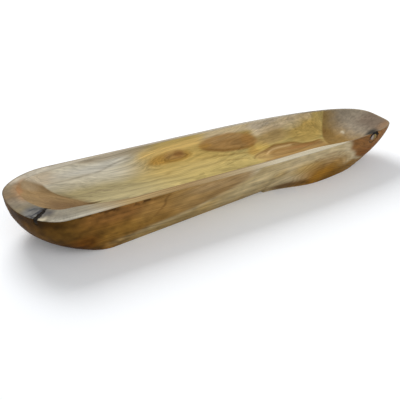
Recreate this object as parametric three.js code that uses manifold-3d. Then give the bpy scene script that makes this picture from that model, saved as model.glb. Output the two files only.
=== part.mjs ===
// Boat-shaped bowl carved from half a log: a long trough with a blunt round end and a drawn-out bow.
// Millimetres, +Z up, +X towards the bow, origin on the resting surface below the middle of the rim.
// The far side is +Y and the near side is -Y. The rim is the log's flat sawn face.
import * as THREE from "three";
import { mergeVertices } from "three/addons/utils/BufferGeometryUtils.js";
import Module from "manifold-3d";

// Overall size
const LENGTH = 600;
const BEAM = 140;
const HEIGHT = 65;

// Rim outline from above: both ends are rounded, with their foremost points off the centre line
const BLUNT_ROUND = 63;
const BLUNT_APEX_Y = 23;
const BLUNT_FULLNESS = 1.9;
const BOW_TAPER = 275;
const BOW_APEX_Y = -12;
const BOW_FULLNESS_ALONG = 1.9;
const BOW_FULLNESS_FAR = 3.2;
const BOW_FULLNESS_NEAR = 5;

// Hull below the rim: how far the foot is drawn in on each side, and how the walls curve down to it
const BLUNT_OVERHANG = 46;
const BLUNT_WALL_CURVE = 2.9;
const BOW_OVERHANG = 60;
const BOW_WALL_CURVE = 1.7;
const FLANK_CURVE = 1.8;
const FAR_FLANK_INSET = 22;

// The near flank is hewn in towards a waist, stops there at a chisel step, and swells again at the bow
const HEEL_INSET = 8;
const HEEL_FROM_BLUNT = 110;
const WAIST_INSET = 32;
const WAIST_FROM_BLUNT = 352;
const WAIST_STEP = 4;
const SWELL_INSET = 11;
const SWELL_FROM_BOW = 150;

// Flat land left round the rim, far and near: wide at the blunt end, narrow along the sides and bow.
// The first two starts and stops are distances from the blunt end, the last two from the bow
const BLUNT_LAND_FAR = 13;
const BLUNT_LAND_NEAR = 25;
const BLUNT_LAND_STOP = 60;
const SIDE_LAND_FAR = 4.5;
const SIDE_LAND_NEAR = 12;
const SIDE_LAND_START = 150;
const SIDE_LAND_STOP = 180;
const BOW_LAND = 2.5;
const BOW_LAND_START = 95;

// Hollow: a rounded trough, squarer in section at the bow, that ends in a ramp up to the bow
// and in a scoop at the blunt end, with a crease where each begins. The scoop is steep on the far
// side and grows gentle quickly towards the near side, so its crease runs aslant.
const FLOOR_THICKNESS = 29;
const FLOOR_WIDTH = 14;
const TROUGH_CURVE_BLUNT = 2;
const TROUGH_CURVE_BOW = 3;
const BLUNT_SCOOP_SLOPE_FAR = 42;
const BLUNT_SCOOP_SLOPE_NEAR = 20;
const BLUNT_SCOOP_TWIST = 3;
const BOW_RAMP_LENGTH = 80;

// Bark seam across the blunt end's rim
const SEAM_FROM_BLUNT = 26;
const SEAM_WIDTH = 4.6;
const SEAM_DEPTH = 7;
const SEAM_RUN_IN = 5;
// Its ragged edges, as shares of its reach inwards from the rim and of its half width
const SEAM_RIGHT = [[-0.5, 0.7], [0.24, 0.9], [0.42, 0.5], [0.62, 0.7], [0.88, 0.4]];
const SEAM_LEFT = [[0.8, 0.5], [0.55, 0.95], [0.33, 0.55], [0.12, 1], [-0.5, 0.6]];

// Dead knot in the near side of the bow, inside its ring of bark
const KNOT_FROM_BOW = 54;
const KNOT_BELOW_RIM = 8;
const KNOT_RADIUS = 5.5;
const KNOT_TAPER = 1;
const KNOT_STRETCH = 1.35;
const KNOT_DEPTH = 12;
const BARK_THICKNESS = 3;

// Gap between a loose piece and its socket, and how far a cutter runs past the surface that it cuts
const CLEARANCE = 0.3;
const OVERCUT = 12;

// Facets
const RIM_POINTS = 150;
const STRAIGHT_SHARE = 0.65;
const FINE_STEPS = 90;
const HULL_LEVELS = 12;
const TROUGH_LEVELS = 9;
const KNOT_SIDES = 20;

const BLUNT_X = -LENGTH / 2;
const BOW_X = LENGTH / 2;
const FAR_Y = BEAM / 2;
const NEAR_Y = -BEAM / 2;
const { clamp, lerp, smoothstep, degToRad } = THREE.MathUtils;

const wasm = await Module();
wasm.setup();

// Turn a closed geometry into a solid that can be joined and cut.
function solidOf(geometry) {
  const bare = geometry.clone();
  bare.deleteAttribute("normal");
  bare.deleteAttribute("uv");
  const merged = mergeVertices(bare);
  const vertProperties = new Float32Array(merged.attributes.position.array);
  const triVerts = new Uint32Array(merged.index.array);
  return new wasm.Manifold(new wasm.Mesh({ numProp: 3, vertProperties, triVerts }));
}

// Turn a solid back into a geometry with flat faces.
function geometryOf(solid) {
  const mesh = solid.getMesh();
  const geometry = new THREE.BufferGeometry();
  geometry.setAttribute("position", new THREE.BufferAttribute(mesh.vertProperties, 3));
  geometry.setIndex(new THREE.BufferAttribute(mesh.triVerts, 1));
  geometry.computeVertexNormals();
  return geometry;
}

// Skin a stack of rings, lowest first, and close it with a fan at the bottom and at the top.
function loft(rings) {
  const count = rings[0].length;
  const vertices = rings.flat();
  const triangles = [];
  for (let level = 0; level + 1 < rings.length; level += 1) {
    for (let i = 0; i < count; i += 1) {
      const here = level * count + i;
      const next = level * count + ((i + 1) % count);
      triangles.push(here, next, next + count, here, next + count, here + count);
    }
  }
  for (const ring of [rings[0], rings.at(-1)]) {
    const hub = vertices.length;
    const first = ring === rings[0] ? 0 : (rings.length - 1) * count;
    const middle = new THREE.Vector3();
    ring.forEach((point) => middle.addScaledVector(point, 1 / count));
    vertices.push(middle);
    for (let i = 0; i < count; i += 1) {
      const edge = [first + i, first + ((i + 1) % count)];
      triangles.push(hub, ...(first === 0 ? edge.reverse() : edge));
    }
  }
  const geometry = new THREE.BufferGeometry().setFromPoints(vertices);
  geometry.setIndex(triangles);
  return geometry;
}

// One rounded quarter of an end, from its foremost point round to the side.
function endQuarter(startX, reach, apexY, sideY, along, across) {
  const points = [];
  for (let i = 0; i <= FINE_STEPS; i += 1) {
    const turn = (Math.PI / 2) * (i / FINE_STEPS) ** (across / 2);
    const x = startX + reach * Math.cos(turn) ** (2 / along);
    const y = lerp(apexY, sideY, Math.sin(turn) ** (2 / across));
    points.push(new THREE.Vector2(x, y));
  }
  return points;
}

// Choose points round a closed outline, closer together where it bends.
function spacedByBend(outline, count) {
  const steps = outline.map((point, i) => outline[(i + 1) % outline.length].clone().sub(point));
  const lengths = steps.map((step) => step.length());
  const bends = steps.map((step, i) => Math.abs(step.angleTo(steps[(i + 1) % steps.length])));
  const sum = (values) => values.reduce((total, value) => total + value, 0);
  const lengthShare = STRAIGHT_SHARE / sum(lengths);
  const bendShare = (1 - STRAIGHT_SHARE) / sum(bends);
  const chosen = [];
  let travelled = 0;
  outline.forEach((point, i) => {
    const share = lengths[i] * lengthShare + bends[i] * bendShare;
    while (chosen.length < count && chosen.length / count < travelled + share) {
      const part = (chosen.length / count - travelled) / share;
      chosen.push(point.clone().addScaledVector(steps[i], part));
    }
    travelled += share;
  });
  return chosen;
}

// The rim's outer outline, counter-clockwise from the bow's foremost point.
function rimOutline() {
  const bowStart = BOW_X - BOW_TAPER;
  const bluntStart = BLUNT_X + BLUNT_ROUND;
  const bow = (sideY, across) =>
    endQuarter(bowStart, BOW_TAPER, BOW_APEX_Y, sideY, BOW_FULLNESS_ALONG, across);
  const blunt = (sideY) =>
    endQuarter(bluntStart, -BLUNT_ROUND, BLUNT_APEX_Y, sideY, BLUNT_FULLNESS, BLUNT_FULLNESS);
  const farBow = bow(FAR_Y, BOW_FULLNESS_FAR);
  const farBlunt = blunt(FAR_Y).reverse();
  const nearBlunt = blunt(NEAR_Y).slice(1);
  const nearBow = bow(NEAR_Y, BOW_FULLNESS_NEAR).reverse().slice(0, -1);
  return spacedByBend([...farBow, ...farBlunt, ...nearBlunt, ...nearBow], RIM_POINTS);
}

// How far the near flank is drawn in at the foot, along the bowl.
function nearFlankInset(x) {
  const fromBlunt = x - BLUNT_X;
  if (fromBlunt < WAIST_FROM_BLUNT) {
    const run = (fromBlunt - HEEL_FROM_BLUNT) / (WAIST_FROM_BLUNT - HEEL_FROM_BLUNT);
    return lerp(HEEL_INSET, WAIST_INSET, clamp(run, 0, 1));
  }
  const swell = smoothstep(fromBlunt, WAIST_FROM_BLUNT, LENGTH - SWELL_FROM_BOW);
  return lerp(WAIST_INSET - WAIST_STEP, SWELL_INSET, swell);
}

// The rim outline drawn in to what the hull measures at one height.
function hullRing(rim, z) {
  const depth = 1 - z / HEIGHT;
  const bluntShift = BLUNT_OVERHANG * depth ** BLUNT_WALL_CURVE;
  const bowShift = BOW_OVERHANG * depth ** BOW_WALL_CURVE;
  const flank = depth ** FLANK_CURVE;
  const bowStart = BOW_X - BOW_TAPER;
  const bluntStart = BLUNT_X + BLUNT_ROUND;
  return rim.map((point) => {
    const bluntPart = 1 - clamp((point.x - bluntStart) / (bowStart - bluntStart), 0, 1);
    const bowPart = clamp((point.x - bowStart) / BOW_TAPER, 0, 1);
    const x = point.x + bluntShift * bluntPart - bowShift * bowPart;
    const inset = point.y > 0 ? -FAR_FLANK_INSET : nearFlankInset(x);
    const y = point.y + inset * flank * Math.abs(point.y / FAR_Y);
    return new THREE.Vector3(x, y, z);
  });
}

// The whole hull before it is hollowed, on its flat foot.
function hull(rim) {
  const rings = [];
  for (let level = 0; level < HULL_LEVELS; level += 1) {
    const rise = 1 - Math.cos((Math.PI / 2) * (level / (HULL_LEVELS - 1)));
    rings.push(hullRing(rim, HEIGHT * rise));
  }
  return solidOf(loft(rings));
}

// Width of the flat land at one point of the rim.
function landWidth(point) {
  const fromBlunt = point.x - BLUNT_X;
  const nearness = (FAR_Y - point.y) / BEAM;
  const blunt = lerp(BLUNT_LAND_FAR, BLUNT_LAND_NEAR, nearness);
  const side = lerp(SIDE_LAND_FAR, SIDE_LAND_NEAR, nearness);
  const towardsSide = smoothstep(fromBlunt, BLUNT_LAND_STOP, SIDE_LAND_START);
  const towardsBow = smoothstep(fromBlunt, LENGTH - SIDE_LAND_STOP, LENGTH - BOW_LAND_START);
  return lerp(lerp(blunt, side, towardsSide), BOW_LAND, towardsBow);
}

// The rim's inner edge: the outer outline moved in by the land.
function innerEdge(rim) {
  return rim.map((point, i) => {
    const ahead = rim[(i + 1) % rim.length];
    const behind = rim[(i + rim.length - 1) % rim.length];
    const travel = ahead.clone().sub(behind).normalize();
    const inward = new THREE.Vector2(-travel.y, travel.x);
    return point.clone().addScaledVector(inward, landWidth(point));
  });
}

// The long rounded trough with its ramp, open upwards and square at the blunt end.
function trough(edge) {
  const bluntStart = BLUNT_X + BLUNT_ROUND;
  const rampStart = BOW_X - BOW_LAND - BOW_RAMP_LENGTH;
  const endLand = (sideY) => landWidth(new THREE.Vector2(bluntStart, sideY));
  const farEndY = FAR_Y - endLand(FAR_Y);
  const nearEndY = NEAR_Y + endLand(NEAR_Y);
  const ring = (spread, top) =>
    edge.map((point) => {
      const along = clamp((point.x - bluntStart) / (rampStart - bluntStart), 0, 1);
      const rise = spread ** lerp(TROUGH_CURVE_BLUNT, TROUGH_CURVE_BOW, along);
      const width = lerp(FLOOR_WIDTH / BEAM, 1, spread);
      const z = lerp(FLOOR_THICKNESS, top, rise);
      if (along === 0) {
        const squareY = point.y > BLUNT_APEX_Y ? farEndY : nearEndY;
        return new THREE.Vector3(point.x - OVERCUT, squareY * width, z);
      }
      const ramp = Math.max(point.x - rampStart, 0) * (1 - rise);
      return new THREE.Vector3(point.x - ramp, point.y * width, z);
    });
  const rings = [];
  for (let level = 0; level < TROUGH_LEVELS; level += 1) {
    rings.push(ring(level / (TROUGH_LEVELS - 1), HEIGHT));
  }
  rings.push(ring(1, HEIGHT + OVERCUT));
  return solidOf(loft(rings));
}

// Slope of the blunt end's scoop at one place across the bowl.
function scoopSlope(y) {
  const farness = ((y - NEAR_Y) / BEAM) ** BLUNT_SCOOP_TWIST;
  return degToRad(lerp(BLUNT_SCOOP_SLOPE_NEAR, BLUNT_SCOOP_SLOPE_FAR, farness));
}

// All that lies bow-wards of the scoop in the blunt end, and wider than the trough.
function bluntScoop(edge) {
  const bluntStart = BLUNT_X + BLUNT_ROUND;
  const ring = (z) =>
    edge.map((point) => {
      const shift = (HEIGHT - z) / Math.tan(scoopSlope(point.y));
      const along = clamp((point.x - bluntStart) / (BOW_X - bluntStart), 0, 1);
      const x = point.x + lerp(shift, OVERCUT, along);
      const y = point.y + Math.sign(point.y) * OVERCUT * Math.sqrt(along);
      return new THREE.Vector3(x, y, z);
    });
  return solidOf(loft([ring(FLOOR_THICKNESS - OVERCUT), ring(HEIGHT), ring(HEIGHT + OVERCUT)]));
}

// A frame on the near side of the rim's outer edge: X along the rim, Y inwards, Z up.
function rimFrame(rim, x) {
  const crossings = rim
    .map((point, i) => [point, rim[(i + 1) % rim.length]])
    .filter(([from, to]) => from.x <= x && to.x > x);
  const [from, to] = crossings[0];
  const place = from.clone().lerp(to, (x - from.x) / (to.x - from.x));
  const along = new THREE.Vector3(to.x - from.x, to.y - from.y, 0).normalize();
  const up = new THREE.Vector3(0, 0, 1);
  const frame = new THREE.Matrix4().makeBasis(along, up.clone().cross(along), up);
  return { place, matrix: frame.setPosition(place.x, place.y, HEIGHT) };
}

// The bark seam's blade, from outside the rim to just past the land, with a ragged outline.
function seamBlade(rim, grow) {
  const { place, matrix } = rimFrame(rim, BLUNT_X + SEAM_FROM_BLUNT);
  const reach = landWidth(place) + SEAM_RUN_IN;
  const half = SEAM_WIDTH / 2;
  const outline = [
    ...SEAM_RIGHT.map(([inward, share]) => new THREE.Vector2(half * share + grow, reach * inward)),
    new THREE.Vector2(0, reach + grow),
    ...SEAM_LEFT.map(([inward, share]) => new THREE.Vector2(-half * share - grow, reach * inward)),
  ];
  const blade = new THREE.ExtrudeGeometry(new THREE.Shape(outline), {
    depth: SEAM_DEPTH + grow + OVERCUT,
    bevelEnabled: false,
  });
  blade.translate(0, 0, -SEAM_DEPTH - grow);
  return solidOf(blade.applyMatrix4(matrix));
}

// A tapered plug on the dead branch's axis, from outside the flank inwards.
function knotPlug(rim, radius, depth) {
  const { matrix } = rimFrame(rim, BOW_X - KNOT_FROM_BOW);
  const profile = [
    new THREE.Vector2(0, -OVERCUT),
    new THREE.Vector2(radius, -OVERCUT),
    new THREE.Vector2(radius, 0),
    new THREE.Vector2(radius - (KNOT_TAPER * depth) / KNOT_DEPTH, depth),
    new THREE.Vector2(0, depth),
  ];
  const plug = new THREE.LatheGeometry(profile, KNOT_SIDES);
  plug.scale(KNOT_STRETCH, 1, 1);
  plug.translate(0, 0, -KNOT_BELOW_RIM);
  return solidOf(plug.applyMatrix4(matrix));
}

function piece(name, solid, color, roughness) {
  const material = new THREE.MeshStandardMaterial({ color, roughness, metalness: 0 });
  const mesh = new THREE.Mesh(geometryOf(solid), material);
  mesh.name = name;
  return mesh;
}

const rim = rimOutline();
const edge = innerEdge(rim);
const hollow = trough(edge).intersect(bluntScoop(edge));
const carved = hull(rim).subtract(hollow);

const barkRadius = KNOT_RADIUS + CLEARANCE + BARK_THICKNESS;
const knotSocket = knotPlug(rim, barkRadius + CLEARANCE, KNOT_DEPTH + CLEARANCE);
const knotCore = knotPlug(rim, KNOT_RADIUS, KNOT_DEPTH);
const coreSocket = knotPlug(rim, KNOT_RADIUS + CLEARANCE, KNOT_DEPTH + OVERCUT);
const knotBark = knotPlug(rim, barkRadius, KNOT_DEPTH).subtract(coreSocket);

const bowl = new THREE.Group();
bowl.add(
  piece("bowl_body", carved.subtract(seamBlade(rim, CLEARANCE)).subtract(knotSocket), 0xa9793f, 0.45),
  piece("rim_bark_seam", carved.intersect(seamBlade(rim, 0)), 0x2a211c, 0.85),
  piece("tip_knot", carved.intersect(knotCore), 0xb9a37c, 0.55),
  piece("tip_knot_bark", carved.intersect(knotBark), 0x1f1916, 0.9),
);

export default bowl;
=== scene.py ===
# %% [markdown]
# # A boat-shaped bowl, carved from half a log
# This lesson dresses a finished construction model. The bowl is one carved piece of wood with three
# things that the tree grew into it: a strip of bark across the rim, and a dead branch with its bark.
# The frame that is loaded here holds those four pieces at their real size. Nothing in it is moved:
# each piece below is made finer in its place, and then stands for the plain one.

# %% Load the construction model
import math
import bpy
import numpy as np
from mathutils import Matrix, Vector


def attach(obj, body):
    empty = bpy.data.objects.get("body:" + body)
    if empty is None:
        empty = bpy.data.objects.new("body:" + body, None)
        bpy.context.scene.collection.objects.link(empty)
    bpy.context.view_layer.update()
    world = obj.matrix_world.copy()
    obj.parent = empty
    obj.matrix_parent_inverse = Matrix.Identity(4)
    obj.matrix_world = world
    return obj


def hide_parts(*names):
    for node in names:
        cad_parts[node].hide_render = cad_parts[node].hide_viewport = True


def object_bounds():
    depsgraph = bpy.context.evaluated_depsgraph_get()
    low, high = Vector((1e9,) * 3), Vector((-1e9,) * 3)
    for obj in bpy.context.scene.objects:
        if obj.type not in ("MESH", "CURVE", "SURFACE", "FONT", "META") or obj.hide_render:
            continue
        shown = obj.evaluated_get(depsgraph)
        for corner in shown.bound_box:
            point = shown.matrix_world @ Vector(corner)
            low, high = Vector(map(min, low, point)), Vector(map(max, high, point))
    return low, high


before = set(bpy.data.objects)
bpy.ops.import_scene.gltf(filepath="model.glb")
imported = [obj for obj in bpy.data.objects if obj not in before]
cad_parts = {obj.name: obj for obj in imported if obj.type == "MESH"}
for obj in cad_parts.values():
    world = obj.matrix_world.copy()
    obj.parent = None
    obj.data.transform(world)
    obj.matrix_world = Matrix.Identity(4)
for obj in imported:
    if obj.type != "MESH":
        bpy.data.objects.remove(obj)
cad_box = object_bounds()

MM = 0.001
LENGTH, BEAM, HEIGHT = [(high - low) / MM for low, high in zip(*cad_box)]
BLUNT_X, BOW_X = -LENGTH / 2, LENGTH / 2
FAR_Y, NEAR_Y = BEAM / 2, -BEAM / 2
print(f"bowl {LENGTH:.0f} x {BEAM:.0f} x {HEIGHT:.0f} mm, nodes {sorted(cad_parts)}")

# %% [markdown]
# ## The camera
# The bowl is seen from its near side, a little from the left and from above, and from close by, so
# that the bow looks slimmer than the blunt end. A camera can be aimed with a constraint, but here
# its three axes are worked out and set at once, so that it needs no other object in the scene.

# %% Camera
VIEW_TURN = math.radians(-27.2)
VIEW_RISE = math.radians(33.96)
VIEW_DISTANCE = 621.9
VIEW_TARGET = Vector((-61.9, -55.5, 30.0))
LENS_MM, SENSOR_MM = 41.04, 36
NEAREST_SEEN = 0.01
scene = bpy.context.scene


def aim(made, target, distance, turn, rise):
    """Put a camera or lamp at a distance from the target, turned round it and raised above it."""
    back = Vector((math.sin(turn) * math.cos(rise), -math.cos(turn) * math.cos(rise), math.sin(rise)))
    right = Vector((math.cos(turn), math.sin(turn), 0))
    axes = Matrix((right, back.cross(right), back)).transposed().to_4x4()
    made.matrix_world = Matrix.Translation((target + back * distance) * MM) @ axes


lens = bpy.data.cameras.new("photo_view")
lens.lens = LENS_MM
lens.sensor_width = SENSOR_MM
lens.clip_start = NEAREST_SEEN
camera = bpy.data.objects.new("photo_view", lens)
scene.collection.objects.link(camera)
aim(camera, VIEW_TARGET, VIEW_DISTANCE, VIEW_TURN, VIEW_RISE)
scene.camera = camera
print("camera at", [round(v, 3) for v in camera.location])

# %% [markdown]
# ## Small tools for finishes
# A finish in Blender is a web of shader nodes. It can be wired by hand in the shader editor. In a
# script it stays readable when each tool adds one node and hands on its output, so these come first.

# %% Shader tools
WHITE = (1, 1, 1, 1)


def new_finish(name):
    """A new material, with its node tree and its main shader."""
    finish = bpy.data.materials.new(name)
    finish.use_nodes = True
    return finish, finish.node_tree, finish.node_tree.nodes["Principled BSDF"]


def add_node(tree, kind, **settings):
    """Add a shader node and set the properties that are named."""
    node = tree.nodes.new(kind)
    for key, value in settings.items():
        setattr(node, key, value)
    return node


def feed(tree, socket, value):
    """Set a socket to a number, or link it to the output of another node."""
    if isinstance(value, (int, float)):
        socket.default_value = value
    else:
        tree.links.new(value, socket)


def math_node(tree, operation, first, second):
    node = add_node(tree, "ShaderNodeMath", operation=operation)
    feed(tree, node.inputs[0], first)
    feed(tree, node.inputs[1], second)
    return node.outputs[0]


def range_node(tree, value, low, high, to_low, to_high):
    """Stretch the span from low to high onto the span from to_low to to_high."""
    node = add_node(tree, "ShaderNodeMapRange")
    names = ("Value", "From Min", "From Max", "To Min", "To Max")
    for name, given in zip(names, (value, low, high, to_low, to_high)):
        feed(tree, node.inputs[name], given)
    return node.outputs["Result"]


# %% [markdown]
# ## The white backdrop
# A product like this is photographed on a white sweep of paper. A curved sheet would do, but a flat
# floor is simpler. Camera rays see it a little brighter than it is lit, and white away from the
# bowl, which gives a white backdrop without more light on the wood. The shadow still shows on it.

# %% Backdrop
FLOOR_SIZE = 8.0
FLOOR_WHITE = (0.91, 0.93, 0.955, 1)
FLOOR_LIFT = 0.07
SWEEP_SPAN = (0.5, 1.6)
SKY_LIGHT = 0.43
scene.view_settings.view_transform = "Standard"


def seen_directly(tree):
    """A socket that is 1 for rays from the camera, and for rays in gloss or glass."""
    path = add_node(tree, "ShaderNodeLightPath").outputs
    seen = math_node(tree, "MAXIMUM", path["Is Camera Ray"], path["Is Glossy Ray"])
    return math_node(tree, "MAXIMUM", seen, path["Is Transmission Ray"])


def white_world():
    world = bpy.data.worlds.new("white_studio")
    world.use_nodes = True
    tree = world.node_tree
    tree.nodes.clear()
    output = add_node(tree, "ShaderNodeOutputWorld")
    light = add_node(tree, "ShaderNodeBackground")
    light.inputs["Color"].default_value = WHITE
    strength = range_node(tree, seen_directly(tree), 0, 1, SKY_LIGHT, 1)
    tree.links.new(strength, light.inputs["Strength"])
    tree.links.new(light.outputs[0], output.inputs["Surface"])
    scene.world = world


def white_paper():
    paper, tree, shader = new_finish("white_paper")
    shader.inputs["Base Color"].default_value = FLOOR_WHITE
    shader.inputs["Roughness"].default_value = 1
    shader.inputs["Specular IOR Level"].default_value = 0
    shader.inputs["Emission Color"].default_value = WHITE
    place = add_node(tree, "ShaderNodeNewGeometry").outputs["Position"]
    reach = add_node(tree, "ShaderNodeVectorMath", operation="LENGTH")
    tree.links.new(place, reach.inputs[0])
    sweep = range_node(tree, reach.outputs["Value"], *SWEEP_SPAN, FLOOR_LIFT, 1)
    lift = math_node(tree, "MULTIPLY", seen_directly(tree), sweep)
    tree.links.new(lift, shader.inputs["Emission Strength"])
    return paper


def white_floor():
    mesh = bpy.data.meshes.new("white_sweep")
    half = FLOOR_SIZE / 2
    corners = [(-half, -half, 0), (half, -half, 0), (half, half, 0), (-half, half, 0)]
    mesh.from_pydata(corners, [], [(0, 1, 2, 3)])
    mesh.materials.append(white_paper())
    floor = bpy.data.objects.new("white_sweep", mesh)
    scene.collection.objects.link(floor)


white_world()
white_floor()
print("backdrop", FLOOR_SIZE, "m wide")

# %% [markdown]
# ## Two softboxes
# The shadow falls softly towards the viewer, so the main light is large and stands behind the bowl,
# high up. A weaker and larger one in front keeps the near flank readable. Point lamps would give
# hard shadows, so both are square area lights, aimed with the same function as the camera.

# %% Softboxes


def soft_light(name, turn, rise, distance, size, power):
    """A square softbox that faces the bowl, turned and raised as the camera is."""
    light = bpy.data.lights.new(name, "AREA")
    light.shape = "SQUARE"
    light.size = size
    light.energy = power
    lamp = bpy.data.objects.new(name, light)
    scene.collection.objects.link(lamp)
    aim(lamp, Vector((0, 0, 0)), distance / MM, math.radians(turn), math.radians(rise))


soft_light("back_softbox", turn=184, rise=45, distance=2.2, size=1.15, power=38)
soft_light("front_softbox", turn=8, rise=42, distance=2.2, size=1.6, power=14.5)

# %% [markdown]
# ## The carver's measures
# These are the sizes that the carver would mark on the log, in millimetres: how the rim is drawn
# from above, how far the walls lean in towards the foot, how wide a flat rim is left, and how deep
# the trough goes. They are those of the construction model, so that both bowls have the same form.

# %% Measures of the carving
BLUNT_ROUND, BLUNT_APEX_Y, BLUNT_FULLNESS = 63, 23, 1.9
BOW_TAPER, BOW_APEX_Y, BOW_FULLNESS = 275, -12, 1.9
BOW_FULLNESS_FAR, BOW_FULLNESS_NEAR = 3.2, 5
BLUNT_OVERHANG, BLUNT_WALL_CURVE = 46, 2.9
BOW_OVERHANG, BOW_WALL_CURVE = 60, 1.7
FLANK_CURVE, FAR_FLANK_INSET = 1.8, 22
HEEL_INSET, HEEL_X = 8, BLUNT_X + 110
WAIST_INSET, WAIST_X, WAIST_STEP = 32, BLUNT_X + 352, 4
SWELL_INSET, SWELL_X = 11, BOW_X - 150
BLUNT_LAND_FAR, BLUNT_LAND_NEAR = 13, 25
SIDE_LAND_FAR, SIDE_LAND_NEAR, BOW_LAND = 4.5, 12, 2.5
BLUNT_LAND_X, SIDE_LAND_X = BLUNT_X + 60, BLUNT_X + 150
SIDE_LAND_END_X, BOW_LAND_X = BOW_X - 180, BOW_X - 95
FLOOR_THICKNESS, FLOOR_WIDTH = 29, 14
TROUGH_CURVE_BLUNT, TROUGH_CURVE_BOW = 2, 3
SCOOP_SLOPE_FAR, SCOOP_SLOPE_NEAR, SCOOP_TWIST = 42, 20, 3
RAMP_LENGTH = 80

BLUNT_START, BOW_START = BLUNT_X + BLUNT_ROUND, BOW_X - BOW_TAPER
RAMP_START = BOW_X - BOW_LAND - RAMP_LENGTH


def mix(a, b, share):
    return a + (b - a) * share


def ease(value, start, stop):
    """0 before start, 1 after stop, and a smooth climb between them."""
    share = np.clip((value - start) / (stop - start), 0, 1)
    return share * share * (3 - 2 * share)


print("bow from", round(BOW_START), "and ramp from", round(RAMP_START), "mm")

# %% [markdown]
# ## The rim, drawn from above
# The rim is the log's sawn face, so it lies in one plane and its outline is the first thing a carver
# draws. Each half of it runs from the bow's tip to the blunt end's tip. Both halves get the same
# number of points, so that later the far wall can be joined to the near wall point by point.

# %% Rim outline
HALF_COLUMNS = 450
DRAWN_STEPS = 400


def end_quarter(start_x, reach, apex_y, side_y, along, across):
    """One rounded quarter of an end, from its tip round to the side."""
    turn = (math.pi / 2) * np.linspace(0, 1, DRAWN_STEPS) ** (across / 2)
    x = start_x + reach * np.cos(turn).clip(0) ** (2 / along)
    y = mix(apex_y, side_y, np.sin(turn) ** (2 / across))
    return np.stack([x, y], -1)


def half_rim(side_y, bow_across):
    """The rim's outline on one side, from the bow's tip to the blunt end's tip, evenly stepped."""
    bow = end_quarter(BOW_START, BOW_TAPER, BOW_APEX_Y, side_y, BOW_FULLNESS, bow_across)
    blunt = end_quarter(BLUNT_START, -BLUNT_ROUND, BLUNT_APEX_Y, side_y, BLUNT_FULLNESS, BLUNT_FULLNESS)
    drawn = np.concatenate([bow, blunt[::-1]])
    travelled = np.concatenate([[0], np.cumsum(np.hypot(*np.diff(drawn, axis=0).T))])
    stops = np.linspace(0, travelled[-1], HALF_COLUMNS + 1)
    return np.stack([np.interp(stops, travelled, drawn[:, k]) for k in (0, 1)], -1)


def two_sides(ring):
    """The far half and the near half of a ring, both from the blunt end's tip to the bow's tip."""
    half = len(ring) // 2
    return ring[: half + 1][::-1], np.concatenate([ring[:1], ring[:half - 1:-1]])[::-1]


far_half = half_rim(FAR_Y, BOW_FULLNESS_FAR)
near_half = half_rim(NEAR_Y, BOW_FULLNESS_NEAR)
rim = np.concatenate([far_half, near_half[-2:0:-1]])
COLUMNS = len(rim)
print("rim columns", COLUMNS, "round", round(np.hypot(*(np.roll(rim, -1, 0) - rim).T).sum()), "mm")

# %% [markdown]
# ## The outer wall and the flat rim
# Going down from the rim, the walls curve in to the foot. The blunt end and the bow lean in most,
# and the near side is hewn in to a waist with a chisel step. On top, a flat land is left between
# the outer edge and the hollow, wide round the blunt end and narrow along the sides. Both could be
# pulled out of a box by hand. Written as rules, they follow the measures and can be checked.

# %% Wall and land


def near_inset(x):
    """How far the near side is drawn in at the foot, along the bowl."""
    hewn = mix(HEEL_INSET, WAIST_INSET, np.clip((x - HEEL_X) / (WAIST_X - HEEL_X), 0, 1))
    swelling = mix(WAIST_INSET - WAIST_STEP, SWELL_INSET, ease(x, WAIST_X, SWELL_X))
    return np.where(x < WAIST_X, hewn, swelling)


def wall_ring(z):
    """The rim's outline drawn in to what the hull measures at one height."""
    depth = 1 - z / HEIGHT
    blunt_part = 1 - np.clip((rim[:, 0] - BLUNT_START) / (BOW_START - BLUNT_START), 0, 1)
    bow_part = np.clip((rim[:, 0] - BOW_START) / BOW_TAPER, 0, 1)
    x = rim[:, 0] + BLUNT_OVERHANG * depth**BLUNT_WALL_CURVE * blunt_part
    x = x - BOW_OVERHANG * depth**BOW_WALL_CURVE * bow_part
    inset = np.where(rim[:, 1] > 0, -FAR_FLANK_INSET, near_inset(x))
    y = rim[:, 1] + inset * depth**FLANK_CURVE * np.abs(rim[:, 1]) / FAR_Y
    return np.stack([x, y, np.full(COLUMNS, z)], -1)


def land_width(x, y):
    """Width of the flat land at a point of the rim."""
    nearness = (FAR_Y - y) / BEAM
    blunt = mix(BLUNT_LAND_FAR, BLUNT_LAND_NEAR, nearness)
    side = mix(SIDE_LAND_FAR, SIDE_LAND_NEAR, nearness)
    behind_bow = mix(blunt, side, ease(x, BLUNT_LAND_X, SIDE_LAND_X))
    return mix(behind_bow, BOW_LAND, ease(x, SIDE_LAND_END_X, BOW_LAND_X))


travel = np.roll(rim, -1, 0) - np.roll(rim, 1, 0)
travel /= np.hypot(*travel.T)[:, None]
inward = np.stack([-travel[:, 1], travel[:, 0]], -1)
widths = land_width(*rim.T)
edge = rim + inward * widths[:, None]
print("land", round(widths.min(), 1), "to", round(widths.max(), 1), "mm wide")

# %% [markdown]
# ## The hollow as a height over the plan
# The hollow has no undercut, so one height for each point of the plan describes all of it. The
# trough widens as it rises, and the height at a point is the level whose outline just reaches it,
# found by halving an interval. The blunt end is cut by a twisting scoop. Where scoop and trough
# meet, a soft maximum leaves the slightly rounded crease that a gouge leaves.

# %% Height of the hollow
CREASE_ROUND = 1.6
HALVINGS = 30
TINY = 1e-6
far_edge, near_edge = two_sides(edge)
END_FAR_Y = FAR_Y - land_width(BLUNT_START, FAR_Y)
END_NEAR_Y = NEAR_Y + land_width(BLUNT_START, NEAR_Y)


def side_y(x, side, end_y):
    """The inner edge's y on one side, straight on past the start of the blunt end."""
    return np.where(x < BLUNT_START, end_y, np.interp(x, side[:, 0], side[:, 1]))


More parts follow.
